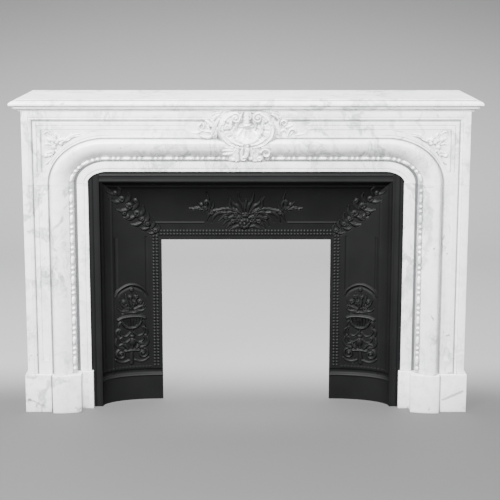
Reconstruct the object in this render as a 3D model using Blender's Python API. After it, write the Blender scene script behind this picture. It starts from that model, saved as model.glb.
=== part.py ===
"""Carved marble chimneypiece with a coved cast-iron fireplace insert.

Metres, +Z up, front facing -Y, origin on the floor under the middle of the whole box.
"""

import math

import bmesh
import bpy
from mathutils import Vector

# Gap between pieces that touch
GAP = 0.0003

# Opening between the marble jambs
OPENING_WIDTH = 1.085
OPENING_HEIGHT = 0.843

# Marble surround, measured across its face
BAND_WIDTH = 0.0365
FIELD_WIDTH = 0.051
TOP_FIELD_WIDTH = 0.058
SIDE_BORDER = 0.1285
TOP_BORDER = 0.118
CORNER_RUN = 0.195
CORNER_RISE = 0.158
SURROUND_THICKNESS = 0.060
SURROUND_TO_WALL = 0.328

# Mouldings of the surround: widths along the face and levels forward of the flat band
BAND_FLAT = 0.025
BAND_OVOLO = 0.0085
BAND_OVOLO_DROP = 0.006
BAND_GROOVE = 0.009
FIELD_LEVEL = -0.004
FIELD_EDGE = 0.004
ARRIS = 0.001
QUIRK_LEVEL = -0.012
ROLL_START = 0.002
ROLL_RISE_WIDTH = 0.0175
ROLL_CROWN = 0.016
ROLL_WIDTH = 0.0675
ROLL_DROP = 0.023
BEAD_BED_WIDTH = 0.013
BEAD_BED_LEVEL = -0.012
SLIP_GROOVE_WIDTH = 0.010
SLIP_GROOVE_LEVEL = -0.040
SLIP_SETBACK = 0.036
SLIP_THICKNESS = 0.0117
SLIP_LIP_WIDTH = 0.013
SLIP_LIP_DROP = 0.002

# Sunk panels
SUNK_DEPTH = 0.003
JAMB_PANEL_EDGE = 0.0155
JAMB_PANEL_WIDTH = 0.024
JAMB_PANEL_FOOT = 0.049
JAMB_PANEL_HEAD = 0.030
SPANDREL_SIDE = 0.0302
SPANDREL_TOP = 0.030
SPANDREL_HEIGHT = 0.144
SPANDREL_RIM = 0.0155
SPANDREL_RISE = 0.024
SPANDREL_DEPTH = 0.006
CUTTER_REACH = 0.02
FRIEZE_PANEL_GAP = 0.012
FRIEZE_PANEL_END = 0.205
FRIEZE_PANEL_HEIGHT = 0.0345

# Bead row: two pearls and an olive, repeated
BEAD_RADIUS = 0.0055
BEAD_CROWN = 0.0085
BEAD_ROOT = 0.002
PEARL_PITCH = 0.0167
OLIVE_LENGTH = 0.032
BEAD_REPEAT = 0.0715
BEAD_START = 0.075

# Shelf
SHELF_THICKNESS = 0.041
SHELF_SIDE_OVERHANG = 0.0345
SHELF_FRONT_OVERHANG = 0.038

# Shelf edge from its underside up: setback from the nose, height as a share of the thickness
SHELF_EDGE = (
    (0.0280, 0.0),
    (0.0265, 0.098),
    (0.0215, 0.122),
    (0.0165, 0.232),
    (0.0125, 0.390),
    (0.0025, 0.451),
    (0.0, 0.524),
    (0.0, 0.659),
    (0.0035, 0.768),
    (0.0105, 0.854),
    (0.0185, 0.883),
    (0.0200, 0.939),
    (0.0216, 1.0),
)

# Plinths
PLINTH_HEIGHT = 0.135
PLINTH_PROJECTION = 0.009
SLIP_PLINTH_PROJECTION = 0.007
PLINTH_BULGE = 0.016
PLINTH_INNER_SETBACK = 0.007

# Side slabs that run back to the wall
RETURN_THICKNESS = 0.030

# Iron insert
FLANGE_SHOWN_SIDE = 0.0365
FLANGE_SHOWN_TOP = 0.038
FLANGE_LAP = 0.030
IRON_WALL = 0.008
FIRE_WIDTH = 0.597
FIRE_HEIGHT = 0.586
COVE_DEPTH = 0.082
FLANGE_RIDGE = 0.007
FLANGE_RIDGE_HEIGHT = 0.003
FLANGE_SEAT = 0.016
IRON_RELIEF = 0.004
IRON_ROOT = 0.004

# Facets on curved work
CORNER_STEPS = 8
ROLL_RISE_STEPS = 2
ROLL_FALL_STEPS = 3
COVE_STEPS = 6
BULGE_STEPS = 8

# Worked out from the above
OPENING_HALF = OPENING_WIDTH / 2
QUIRK_X = OPENING_HALF + SIDE_BORDER
QUIRK_Z = OPENING_HEIGHT + TOP_BORDER
BODY_HALF = QUIRK_X + FIELD_WIDTH + BAND_WIDTH
BODY_TOP = QUIRK_Z + TOP_FIELD_WIDTH + BAND_WIDTH
JOINT_Z = QUIRK_Z - CORNER_RISE
CORNER_END_X = QUIRK_X - CORNER_RUN
WALL_Y = (SURROUND_TO_WALL + SHELF_FRONT_OVERHANG) / 2
FACE_Y = WALL_Y - SURROUND_TO_WALL
BACK_Y = FACE_Y + SURROUND_THICKNESS
SLIP_BACK_Y = FACE_Y + SLIP_SETBACK + SLIP_THICKNESS
IRON_Y = SLIP_BACK_Y + GAP + FLANGE_RIDGE_HEIGHT
PLINTH_HALF = BODY_HALF + PLINTH_PROJECTION
FIRE_HALF = FIRE_WIDTH / 2
COVE_HALF = OPENING_HALF - FLANGE_SHOWN_SIDE
COVE_TOP = OPENING_HEIGHT - FLANGE_SHOWN_TOP
COVE_RUN = COVE_HALF - FIRE_HALF
COVE_RISE = COVE_TOP - FIRE_HEIGHT
REBATE_HALF = OPENING_HALF + FLANGE_LAP + 2 * GAP
REBATE_TOP = OPENING_HEIGHT + FLANGE_LAP + 2 * GAP
CARVING_ROOT = -0.026

MARBLE = ("white_marble", (0.74, 0.75, 0.74, 1.0), 0.32, 0.0)
IRON = ("black_cast_iron", (0.018, 0.019, 0.020, 1.0), 0.42, 0.35)


def clear_scene():
    for obj in list(bpy.data.objects):
        bpy.data.objects.remove(obj, do_unlink=True)


def material(finish):
    name, colour, roughness, metallic = finish
    made = bpy.data.materials.get(name)
    if made is None:
        made = bpy.data.materials.new(name)
        made.use_nodes = True
        shader = made.node_tree.nodes["Principled BSDF"]
        shader.inputs["Base Color"].default_value = colour
        shader.inputs["Roughness"].default_value = roughness
        shader.inputs["Metallic"].default_value = metallic
        made.diffuse_color = colour
    return made


def mesh_object(name, bm, finish):
    """A named object in the scene from a closed bmesh, with its faces turned outwards."""
    bmesh.ops.recalc_face_normals(bm, faces=bm.faces)
    mesh = bpy.data.meshes.new(name)
    bm.to_mesh(mesh)
    bm.free()
    mesh.materials.append(material(finish))
    mesh.shade_smooth()
    mesh.set_sharp_from_angle(angle=math.radians(32))
    obj = bpy.data.objects.new(name, mesh)
    bpy.context.scene.collection.objects.link(obj)
    return obj


def loft(rings):
    """A closed bmesh through rings of equally many points, capped at both ends."""
    bm = bmesh.new()
    rows = [[bm.verts.new(point) for point in ring] for ring in rings]
    count = len(rows[0])
    for low, high in zip(rows, rows[1:]):
        for i in range(count):
            j = (i + 1) % count
            bm.faces.new((low[i], low[j], high[j], high[i]))
    bmesh.ops.connect_verts_nonplanar(bm, angle_limit=math.radians(0.02), faces=bm.faces)
    bm.faces.new(list(reversed(rows[0])))
    bm.faces.new(rows[-1])
    return bm


def prism(outline, low, high, axis):
    """A closed bmesh from a flat outline, drawn out along Y or along Z."""
    if axis == "Y":
        return loft([[(x, y, z) for x, z in outline] for y in (low, high)])
    return loft([[(x, y, z) for x, y in outline] for z in (low, high)])


def mirrored(rings):
    return [[(-x, y, z) for x, y, z in ring] for ring in reversed(rings)]


def helper(obj, into):
    """Puts a cutter or a carved addition in the collection that a Boolean takes up."""
    obj.hide_render = True
    obj.display_type = "WIRE"
    bpy.context.scene.collection.objects.unlink(obj)
    into.objects.link(obj)


def group(name):
    made = bpy.data.collections.new(name)
    bpy.context.scene.collection.children.link(made)
    return made


def boolean(obj, operation, name, collection):
    modifier = obj.modifiers.new(name, "BOOLEAN")
    modifier.operation = operation
    modifier.solver = "EXACT"
    modifier.operand_type = "COLLECTION"
    modifier.collection = collection


def border_section():
    """Points across the border from the field to the opening: offset from the quirk, level."""
    points = [(-FIELD_EDGE, FIELD_LEVEL), (0.0, QUIRK_LEVEL)]
    for step in range(1, ROLL_RISE_STEPS + 1):
        turn = math.radians(90) * step / ROLL_RISE_STEPS
        points.append((
            ROLL_RISE_WIDTH * (1 - math.cos(turn)) + ROLL_START * math.cos(turn),
            QUIRK_LEVEL + (ROLL_CROWN - QUIRK_LEVEL) * math.sin(turn),
        ))
    for step in range(1, ROLL_FALL_STEPS + 1):
        share = step / ROLL_FALL_STEPS
        points.append((
            ROLL_RISE_WIDTH + (ROLL_WIDTH - ROLL_RISE_WIDTH) * share,
            ROLL_CROWN - ROLL_DROP * share * share,
        ))
    bed_end = ROLL_WIDTH + BEAD_BED_WIDTH
    slip = bed_end + SLIP_GROOVE_WIDTH
    points += [
        (ROLL_WIDTH + ARRIS, BEAD_BED_LEVEL),
        (bed_end, BEAD_BED_LEVEL),
        (bed_end + ARRIS, SLIP_GROOVE_LEVEL),
        (slip, SLIP_GROOVE_LEVEL),
        (slip + ARRIS, -SLIP_SETBACK),
        (SIDE_BORDER - SLIP_LIP_WIDTH, -SLIP_SETBACK),
        (SIDE_BORDER - SLIP_LIP_WIDTH + ARRIS, -SLIP_SETBACK - SLIP_LIP_DROP),
        (SIDE_BORDER, -SLIP_SETBACK - SLIP_LIP_DROP),
    ]
    return points


def band_section():
    """Points across the outer band: distance in from the outer edge, level."""
    return [
        (0.0, 0.0),
        (BAND_FLAT, 0.0),
        (BAND_FLAT + BAND_OVOLO, -BAND_OVOLO_DROP),
        (BAND_WIDTH, -BAND_GROOVE),
        (BAND_WIDTH + 2 * ARRIS, FIELD_LEVEL),
    ]


def rail(half, top, share):
    """A point of a square-cornered rail round the surround, from the joint to the corner's end."""
    if share <= 0.5:
        return -half, JOINT_Z + (top - JOINT_Z) * share / 0.5
    run = (share - 0.5) / 0.5
    return -half + (half - CORNER_END_X) * run, top


def quirk(share, run=CORNER_RUN, rise=CORNER_RISE):
    """The quirk's point and its inward normal, from the joint to the end of the rounded corner."""
    turn = math.radians(90) * share
    point = Vector((-CORNER_END_X - run * math.cos(turn), JOINT_Z + rise * math.sin(turn)))
    normal = Vector((math.cos(turn) / run, -math.sin(turn) / rise)).normalized()
    return point, normal


def border_point(share, offset):
    point, normal = quirk(share)
    scale = 1 + (TOP_BORDER / SIDE_BORDER - 1) * normal[1] ** 2
    return point + normal * offset * scale


def surround_ring(share):
    """One closed section of the surround, from its outer back edge over the face to the opening."""
    ring = []
    for inset, level in band_section():
        x, z = rail(BODY_HALF - inset, BODY_TOP - inset, share)
        ring.append((x, FACE_Y - level, z))
    for offset, level in border_section():
        x, z = border_point(share, offset)
        ring.append((x, FACE_Y - level, z))
    x, z = border_point(share, SIDE_BORDER)
    ring.append((x, SLIP_BACK_Y, z))
    x, z = rail(REBATE_HALF, REBATE_TOP, share)
    ring.append((x, SLIP_BACK_Y, z))
    ring.append((x, BACK_Y, z))
    x, z = rail(BODY_HALF, BODY_TOP, share)
    ring.append((x, BACK_Y, z))
    return ring


def petal(name, into, course, width, crest, surface, root, finish=MARBLE, stations=3, edge=0.0,
          blunt=0.15):
    """A carved leaf: a strip that widens and comes to a point along a curved course.

    Its middle stands crest high. With edge at 0 it is a plain ridge, and otherwise its sides stand
    at that share of the crest.
    """
    start, bend, end = (Vector(point) for point in course)
    rings = []
    for step in range(stations + 1):
        share = step / stations
        place = (1 - share) ** 2 * start + 2 * share * (1 - share) * bend + share ** 2 * end
        way = ((1 - share) * (bend - start) + share * (end - bend)).normalized()
        across = Vector((-way[1], way[0]))
        swell = max(blunt, math.sin(math.pi * min(1.0, 0.12 + 0.88 * share ** 0.8)))
        half = width / 2 * swell
        lift = crest[0] + (crest[1] - crest[0]) * share
        if edge:
            outline = ((-1, -root), (-1, lift * edge), (0, lift), (1, lift * edge), (1, -root))
        else:
            spread = 1 + root / lift
            outline = ((-spread, -root), (0, lift), (spread, -root))
        ring = []
        for side, height in outline:
            spot = place + across * side * half
            ring.append((spot[0], surface(place[0], place[1]) - height, spot[1]))
        rings.append(ring)
    helper(mesh_object(name, loft(rings), finish), into)


def scroll(name, into, centre, radius, turns, width, crest, surface, root, finish=MARBLE, mirror=1,
           begin=0.0, shrink=0.35, stations=6):
    """A carved ribbon that curls in on itself: a round-backed volute."""
    rings = []
    for step in range(stations + 1):
        share = step / stations
        turn = begin + 2 * math.pi * turns * share
        reach = radius * (1 - (1 - shrink) * share)
        outward = Vector((math.cos(turn) * mirror, math.sin(turn)))
        half = width / 2 * (1 - 0.45 * share)
        ring = []
        for side, height in ((-1, -root), (-1, crest * 0.6), (0, crest), (1, crest * 0.6), (1, -root)):
            spot = Vector(centre) + outward * (reach + side * half)
            ring.append((spot[0], surface(spot[0], spot[1]) - height, spot[1]))
        rings.append(ring)
    helper(mesh_object(name, loft(rings), finish), into)


def boss(name, into, centre, radius, crest, surface, root, finish=MARBLE, sides=6):
    """A low round knob, such as the eye of a volute or of a flower."""
    rings = []
    for reach, height in ((1.0, -root), (1.0, crest * 0.35), (0.62, crest), (0.12, crest * 1.08)):
        ring = []
        for side in range(sides):
            turn = 2 * math.pi * side / sides
            x = centre[0] + radius * reach * math.cos(turn)
            z = centre[1] + radius * reach * math.sin(turn)
            ring.append((x, surface(centre[0], centre[1]) - height, z))
        rings.append(ring)
    helper(mesh_object(name, loft(rings), finish), into)


def bead(name, into, place, way, length):
    """A pearl, or an olive drawn out along the row, cut with six sides and a flat crown."""
    across = Vector((-way[1], way[0]))
    stretch = length / 2 - BEAD_RADIUS
    rings = []
    for radius, height in ((BEAD_RADIUS, -BEAD_ROOT), (BEAD_RADIUS / 2, BEAD_CROWN)):
        ring = []
        for corner in range(6):
            turn = math.radians(60 * corner)
            shift = stretch if math.cos(turn) > 0 else -stretch
            spot = place + way * (radius * math.cos(turn) + shift) + across * radius * math.sin(turn)
            ring.append((spot[0], FACE_Y - BEAD_BED_LEVEL - height, spot[1]))
        rings.append(ring)
    helper(mesh_object(name, loft(rings), MARBLE), into)


def bead_course():
    """The bead row's line on the left half, from the middle of the frieze down to the plinth."""
    offset = ROLL_WIDTH + (BEAD_BED_WIDTH + ARRIS) / 2
    fine = 48
    corner = [border_point(step / fine, offset) for step in range(fine, -1, -1)]
    return [Vector((0.0, corner[0][1]))] + corner + [Vector((corner[-1][0], PLINTH_HEIGHT))]


def along(course, distance):
    """The point at a distance along a course, and the direction there."""
    for start, end in zip(course, course[1:]):
        length = (end - start).length
        if distance <= length:
            way = (end - start) / length
            return start + way * distance, way
        distance -= length
    return None


def bead_places():
    """Centre, direction and length of every bead on the left half, pattern by pattern."""
    course = bead_course()
    total = sum((end - start).length for start, end in zip(course, course[1:]))
    olive_half = OLIVE_LENGTH / 2
    start = BEAD_START
    while start < total:
        for shift, length in (
            (0.0, 2 * BEAD_RADIUS),
            (PEARL_PITCH, 2 * BEAD_RADIUS),
            (PEARL_PITCH + (BEAD_REPEAT - PEARL_PITCH) / 2, OLIVE_LENGTH),
        ):
            if start + shift + olive_half < total:
                place, way = along(course, start + shift)
                yield place, way, length
        start += BEAD_REPEAT


def bead_rows(frieze, jamb_left, jamb_right):
    for number, (place, way, length) in enumerate(bead_places()):
        reach = length / 2 + GAP
        for side, jamb in ((1, jamb_left), (-1, jamb_right)):
            if place[1] - reach > JOINT_Z:
                into = frieze
            elif place[1] + reach < JOINT_Z:
                into = jamb
            else:
                continue
            bead(f"bead_{number}_{side}", into, Vector((side * place[0], place[1])),
                 Vector((side * way[0], way[1])), length)


def marble_level(level):
    """A flat carving ground at a level forward of the band."""
    return lambda x, z: FACE_Y - level


def shelf():
    """Slab with a moulded edge on its front and ends, built up in layers."""
    half = BODY_HALF + SHELF_SIDE_OVERHANG
    front = FACE_Y - SHELF_FRONT_OVERHANG
    rings = []
    for setback, height in SHELF_EDGE:
        x = half - setback
        y = front + setback
        z = BODY_TOP + GAP + SHELF_THICKNESS * height
        rings.append([(-x, y, z), (x, y, z), (x, WALL_Y, z), (-x, WALL_Y, z)])
    mesh_object("mantel_shelf", loft(rings), MARBLE)


def jamb(name, side, beads):
    low, high = (
        [(x, y, z) for x, y, _ in surround_ring(0.0)] for z in (PLINTH_HEIGHT + GAP, JOINT_Z - GAP)
    )
    rings = [low, high] if side < 0 else mirrored([low, high])
    obj = mesh_object(name, loft(rings), MARBLE)
    panels = group(name + "_panel")
    outer = BODY_HALF - BAND_WIDTH - JAMB_PANEL_EDGE
    inner = outer - JAMB_PANEL_WIDTH
    foot = PLINTH_HEIGHT + JAMB_PANEL_FOOT
    head = JOINT_Z - JAMB_PANEL_HEAD
    outline = [(side * x, z) for x, z in ((outer, foot), (inner, foot), (inner, head), (outer, head))]
    depth_y = FACE_Y - FIELD_LEVEL + SUNK_DEPTH
    cutter = mesh_object(name + "_panel_cutter", prism(outline, FACE_Y - CUTTER_REACH, depth_y, "Y"), MARBLE)
    helper(cutter, panels)
    boolean(obj, "DIFFERENCE", "sunk panel", panels)
    boolean(obj, "UNION", "beads", beads)


def spandrel_outline(side):
    """The sunk triangle between the square corner of the field and the curve of the roll."""
    outer = BODY_HALF - BAND_WIDTH - SPANDREL_SIDE
    top = BODY_TOP - BAND_WIDTH - SPANDREL_TOP
    run = CORNER_RUN + SPANDREL_RIM
    rise = CORNER_RISE + SPANDREL_RISE
    low_turn = math.asin((top - SPANDREL_HEIGHT - JOINT_Z) / rise)
    high_turn = math.asin(min(1.0, (top - 0.004 - JOINT_Z) / rise))
    points = [(-outer, top), (-outer, top - SPANDREL_HEIGHT)]
    steps = 7
    for step in range(steps + 1):
        turn = low_turn + (high_turn - low_turn) * step / steps
        point, _ = quirk(turn / math.radians(90), run, rise)
        points.append((point[0], point[1]))
    points.append((points[-1][0], top))
    return [(-side * x, z) for x, z in points]


def placed(course, side=1, x=0.0, z=0.0):
    """Points of a carving, moved to where it sits and turned over for the left side."""
    return [(side * (x + across), z + up) for across, up in course]


def spandrel_leaves(into, side):
    """A spray that fans out of the middle of the curve over the sunk triangle."""
    ground = marble_level(FIELD_LEVEL - SPANDREL_DEPTH)
    heart = (-0.037, -0.025)
    sprays = (
        ((-0.016, -0.006), (0.013, 0.011), 0.016, 0.011),
        ((-0.031, 0.001), (-0.016, 0.023), 0.012, 0.009),
        ((-0.061, -0.004), (-0.086, 0.017), 0.014, 0.011),
        ((-0.077, 0.0), (-0.111, 0.0175), 0.011, 0.010),
        ((-0.016, -0.031), (0.019, -0.024), 0.014, 0.012),
        ((-0.013, -0.043), (0.008, -0.056), 0.014, 0.010),
        ((-0.011, -0.071), (0.013, -0.095), 0.011, 0.008),
    )
    for number, (bend, tip, width, crest) in enumerate(sprays):
        course = placed((heart, bend, tip), side, QUIRK_X, QUIRK_Z)
        petal(f"spandrel_leaf_{number}_{side}", into, course, width, (crest, crest * 0.6), ground, 0.010)
    eye = placed((heart,), side, QUIRK_X, QUIRK_Z)[0]
    boss(f"spandrel_eye_{side}", into, eye, 0.009, 0.013, ground, 0.012)


def shell(into):
    """A ribbed scallop that opens downwards between the two volutes."""
    hinge_z = QUIRK_Z + 0.0605
    ribs = 7
    spread = math.radians(112)
    radii = ((0.010, 0.018, 0.002), (0.030, 0.021, 0.004), (0.058, 0.029, 0.006), (0.072, 0.024, 0.004))
    root_y = FACE_Y - CARVING_ROOT
    rings = []
    for step in range(2 * ribs + 1):
        turn = -spread + 2 * spread * step / (2 * ribs)
        on_rib = step % 2
        front_points = []
        back_points = []
        for radius, level, rib in radii:
            scallop = (0.05 if on_rib else -0.03) if radius > 0.05 else 0.0
            x = radius * (1 + scallop) * 1.08 * math.sin(turn)
            z = hinge_z - radius * (1 + scallop) * math.cos(turn)
            front_points.append((x, FACE_Y - level - (rib if on_rib else -rib), z))
            back_points.append((x, root_y, z))
        rings.append(front_points + back_points[::-1])
    helper(mesh_object("shell", loft(rings), MARBLE), into)


def cartouche(into):
    """The shell, its volutes, the bands that frame it and the leaves round it."""
    ground = marble_level(0.0)
    root = -CARVING_ROOT
    shell(into)
    for side in (-1, 1):
        eye = placed(((0.040, 0.070),), side, z=QUIRK_Z)[0]
        scroll(f"volute_{side}", into, eye, 0.013, 0.9, 0.010, 0.034, ground, root,
               mirror=side, begin=math.radians(200))
        boss(f"volute_eye_{side}", into, eye, 0.006, 0.0345, ground, root)
        bands = (
            ((0.026, 0.081), (0.086, 0.098), (0.094, 0.039), 0.017, (0.026, 0.022)),
            ((0.094, 0.049), (0.090, -0.003), (0.046, -0.015), 0.015, (0.022, 0.030)),
            ((0.060, -0.003), (0.030, -0.029), (0.002, -0.024), 0.013, (0.030, 0.028)),
            ((0.094, 0.069), (0.118, 0.047), (0.104, 0.005), 0.013, (0.012, 0.010)),
            ((0.070, -0.019), (0.084, -0.029), (0.094, -0.040), 0.011, (0.020, 0.018)),
            ((0.060, -0.027), (0.068, -0.045), (0.070, -0.057), 0.012, (0.024, 0.012)),
        )
        for number, (start, bend, end, width, crest) in enumerate(bands):
            course = placed((start, bend, end), side, z=QUIRK_Z)
            petal(f"band_{number}_{side}", into, course, width, crest, ground, root, edge=0.75, blunt=0.5)
    lobes = (
        ((-0.012, -0.025), (-0.036, -0.043), (-0.040, -0.068), 0.018),
        ((-0.006, -0.025), (-0.014, -0.049), (-0.010, -0.071), 0.016),
        ((0.004, -0.025), (0.016, -0.047), (0.012, -0.068), 0.016),
        ((0.014, -0.025), (0.044, -0.041), (0.046, -0.068), 0.018),
    )
    for number, (start, bend, end, width) in enumerate(lobes):
        petal(f"lobe_{number}", into, placed((start, bend, end), z=QUIRK_Z), width, (0.024, 0.006), ground,
              0.034, edge=0.6, blunt=0.35)
    crest = placed(((-0.020, 0.067), (0.0, 0.085), (0.020, 0.067)), z=QUIRK_Z)
    petal("shell_crest", into, crest, 0.016, (0.030, 0.030), ground, root, edge=0.7)


def rinceaux(into, side):
    """Acanthus curls at each side of the cartouche, lying on the frieze's field."""
    ground = marble_level(FIELD_LEVEL)
    leaves = (
        ((0.106, 0.024), (0.128, 0.051), (0.150, 0.039), 0.016, 0.012),
        ((0.108, 0.011), (0.136, 0.003), (0.156, 0.019), 0.014, 0.012),
        ((0.138, 0.015), (0.160, 0.007), (0.186, 0.023), 0.011, 0.009),
        ((0.112, 0.049), (0.124, 0.063), (0.140, 0.063), 0.011, 0.009),
    )
    for number, (start, bend, end, width, crest) in enumerate(leaves):
        course = placed((start, bend, end), side, z=QUIRK_Z)
        petal(f"rinceau_{number}_{side}", into, course, width, (crest, crest * 0.7), ground, 0.016,
              blunt=0.3)
    curl = placed(((0.148, 0.029),), side, z=QUIRK_Z)[0]
    scroll(f"rinceau_curl_{side}", into, curl, 0.010, 0.75, 0.007, 0.010, ground, 0.016,
           mirror=side, begin=math.radians(150), stations=5)


def frieze(beads):
    rings = [surround_ring(step / CORNER_STEPS) for step in range(CORNER_STEPS + 1)]
    rings += mirrored(rings)
    obj = mesh_object("frieze", loft(rings), MARBLE)
    sunk = group("frieze_sunk")
    carving = group("frieze_carving")
    ground_y = FACE_Y - FIELD_LEVEL
    for side in (-1, 1):
        outline = spandrel_outline(side)
        pocket = prism(outline, FACE_Y - CUTTER_REACH, ground_y + SPANDREL_DEPTH, "Y")
        helper(mesh_object(f"spandrel_cutter_{side}", pocket, MARBLE), sunk)
        top = BODY_TOP - BAND_WIDTH - FRIEZE_PANEL_GAP
        low = top - FRIEZE_PANEL_HEIGHT
        panel = [(side * x, z) for x, z in (
            (FRIEZE_PANEL_END, top), (FRIEZE_PANEL_END, low), (CORNER_END_X, low), (CORNER_END_X, top))]
        cutter = mesh_object(f"frieze_panel_cutter_{side}",
                             prism(panel, FACE_Y - CUTTER_REACH, ground_y + SUNK_DEPTH, "Y"), MARBLE)
        helper(cutter, sunk)
        spandrel_leaves(carving, side)
        rinceaux(carving, side)
    cartouche(carving)
    boolean(obj, "UNION", "beads", beads)
    boolean(obj, "DIFFERENCE", "sunk panels", sunk)
    boolean(obj, "UNION", "carving", carving)


def plinth(name, side):
    """One block: its front steps and bows as the jamb above it does, and it runs back to the wall."""
    face = FACE_Y - PLINTH_PROJECTION
    bulge_outer = QUIRK_X
    bulge_inner = QUIRK_X - ROLL_WIDTH - BEAD_BED_WIDTH - SLIP_GROOVE_WIDTH - SLIP_PLINTH_PROJECTION
    slip_y = FACE_Y + SLIP_SETBACK - SLIP_PLINTH_PROJECTION
    slip_x = OPENING_HALF - SLIP_PLINTH_PROJECTION
    outline = [
        (PLINTH_HALF, WALL_Y),
        (PLINTH_HALF, face),
        (bulge_outer + ARRIS, face),
    ]
    for step in range(BULGE_STEPS + 1):
        share = step / BULGE_STEPS
        rise = math.sin(math.pi * min(1.0, 0.10 + 0.62 * share ** 0.72))
        outline.append((
            bulge_outer - (bulge_outer - bulge_inner) * share,
            face + PLINTH_INNER_SETBACK * share - PLINTH_BULGE * rise,
        ))
    outline += [
        (bulge_inner, slip_y),
        (slip_x, slip_y),
        (slip_x, SLIP_BACK_Y),
        (REBATE_HALF, SLIP_BACK_Y),
        (REBATE_HALF, BACK_Y),
        (BODY_HALF - RETURN_THICKNESS, BACK_Y),
        (BODY_HALF - RETURN_THICKNESS, WALL_Y),
    ]
    outline = [(side * x, y) for x, y in outline]
    mesh_object(name, prism(outline, 0.0, PLINTH_HEIGHT, "Z"), MARBLE)


def return_slab(name, side):
    """Plain slab that closes the side, from the back of the jamb to the wall."""
    inner = BODY_HALF - RETURN_THICKNESS
    front = BACK_Y + GAP
    outline = [(side * x, y) for x, y in (
        (BODY_HALF, front), (BODY_HALF, WALL_Y), (inner, WALL_Y), (inner, front))]
    mesh_object(name, prism(outline, PLINTH_HEIGHT + GAP, BODY_TOP, "Z"), MARBLE)


def cove(share):
    """Frontal share (1 at the flange, 0 at the fire opening) and depth share of the cove."""
    turn = math.radians(90) * share
    return math.cos(turn), math.sin(turn)


def cove_y(frontal):
    return IRON_Y + COVE_DEPTH * math.sqrt(max(0.0, 1 - min(1.0, frontal) ** 2))


def cheek_surface(x, z):
    return cove_y((abs(x) - FIRE_HALF) / COVE_RUN)


def header_surface(x, z):
    return cove_y((z - FIRE_HEIGHT) / COVE_RISE)


def flange_section(shown):
    """Across a flange from its seat behind the marble to the cove: distance from the cove, level."""
    near = FLANGE_RIDGE
    return [
        (shown + FLANGE_LAP, FLANGE_RIDGE_HEIGHT),
        (shown + FLANGE_LAP - FLANGE_SEAT, FLANGE_RIDGE_HEIGHT),
        (shown + FLANGE_LAP - FLANGE_SEAT - FLANGE_RIDGE_HEIGHT, 0.0),
        (3.3 * near, 0.0),
        (3.0 * near, FLANGE_RIDGE_HEIGHT),
        (2.2 * near, FLANGE_RIDGE_HEIGHT),
        (1.9 * near, 0.0),
        (1.2 * near, 0.0),
        (0.9 * near, FLANGE_RIDGE_HEIGHT),
        (0.25 * near, FLANGE_RIDGE_HEIGHT),
    ]


def iron_cheek(name, side):
    """Side casting: a full-height flange and a hollow quarter curve back to the fire opening."""
    section = []
    for distance, level in flange_section(FLANGE_SHOWN_SIDE):
        section.append((COVE_HALF + distance, IRON_Y - level))
    section.append((COVE_HALF, IRON_Y))
    section.append((COVE_HALF, IRON_Y + IRON_WALL))
    section.append((COVE_HALF + FLANGE_SHOWN_SIDE + FLANGE_LAP, IRON_Y + IRON_WALL))
    flange = prism([(side * x, y) for x, y in section], 0.0, OPENING_HEIGHT + FLANGE_LAP, "Z")
    obj = mesh_object(name, flange, IRON)
    rings = []
    for step in range(COVE_STEPS + 1):
        frontal, deep = cove(step / COVE_STEPS)
        front = (FIRE_HALF + COVE_RUN * frontal, IRON_Y + COVE_DEPTH * deep)
        back = (FIRE_HALF + (COVE_RUN + IRON_WALL) * frontal, IRON_Y + (COVE_DEPTH + IRON_WALL) * deep)
        z = FIRE_HEIGHT + COVE_RISE * frontal
        rings.append([
            (side * front[0], front[1], 0.0),
            (side * front[0], front[1], z),
            (side * back[0], back[1], z),
            (side * back[0], back[1], 0.0),
        ])
    ornament = group(name + "_parts")
    helper(mesh_object(name + "_cove", loft(rings), IRON), ornament)
    cheek_ornament(name, ornament, side)
    boolean(obj, "UNION", "cove and ornament", ornament)


def cheek_ornament(name, into, side):
    """A footed basket of flowers on scrolling stems, below the head of the cheek."""
    middle = FIRE_HALF + COVE_RUN * 0.475
    crest = (IRON_RELIEF * 1.6, IRON_RELIEF * 1.1)

    def leaf(label, course, width):
        petal(f"{name}_{label}", into, placed(course, side, middle, FIRE_HEIGHT), width, crest,
              cheek_surface, IRON_ROOT, IRON, blunt=0.4)

    flowers = (
        ((0.0, -0.241), (0.0, -0.191), (0.0, -0.161)),
        ((-0.010, -0.241), (-0.024, -0.201), (-0.038, -0.181)),
        ((0.010, -0.241), (0.024, -0.201), (0.038, -0.181)),
        ((-0.012, -0.246), (-0.030, -0.222), (-0.048, -0.218)),
        ((0.012, -0.246), (0.030, -0.222), (0.048, -0.218)),
    )
    for number, course in enumerate(flowers):
        leaf(f"flower_{number}", course, 0.020)
    leaf("basket", ((-0.042, -0.264), (0.0, -0.300), (0.042, -0.264)), 0.020)
    leaf("stem", ((0.0, -0.280), (0.002, -0.336), (0.0, -0.381)), 0.014)
    for turn in (-1, 1):
        leaf(f"scroll_{turn}", ((turn * 0.006, -0.371), (turn * 0.055, -0.351), (turn * 0.040, -0.301)), 0.013)
        leaf(f"foot_{turn}", ((turn * 0.006, -0.381), (turn * 0.050, -0.386), (turn * 0.040, -0.426)), 0.014)
    rosette = placed(((0.0, -0.408),), side, middle, FIRE_HEIGHT)[0]
    boss(f"{name}_rosette", into, rosette, 0.020, IRON_RELIEF * 1.6, cheek_surface, IRON_ROOT, IRON)


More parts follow.
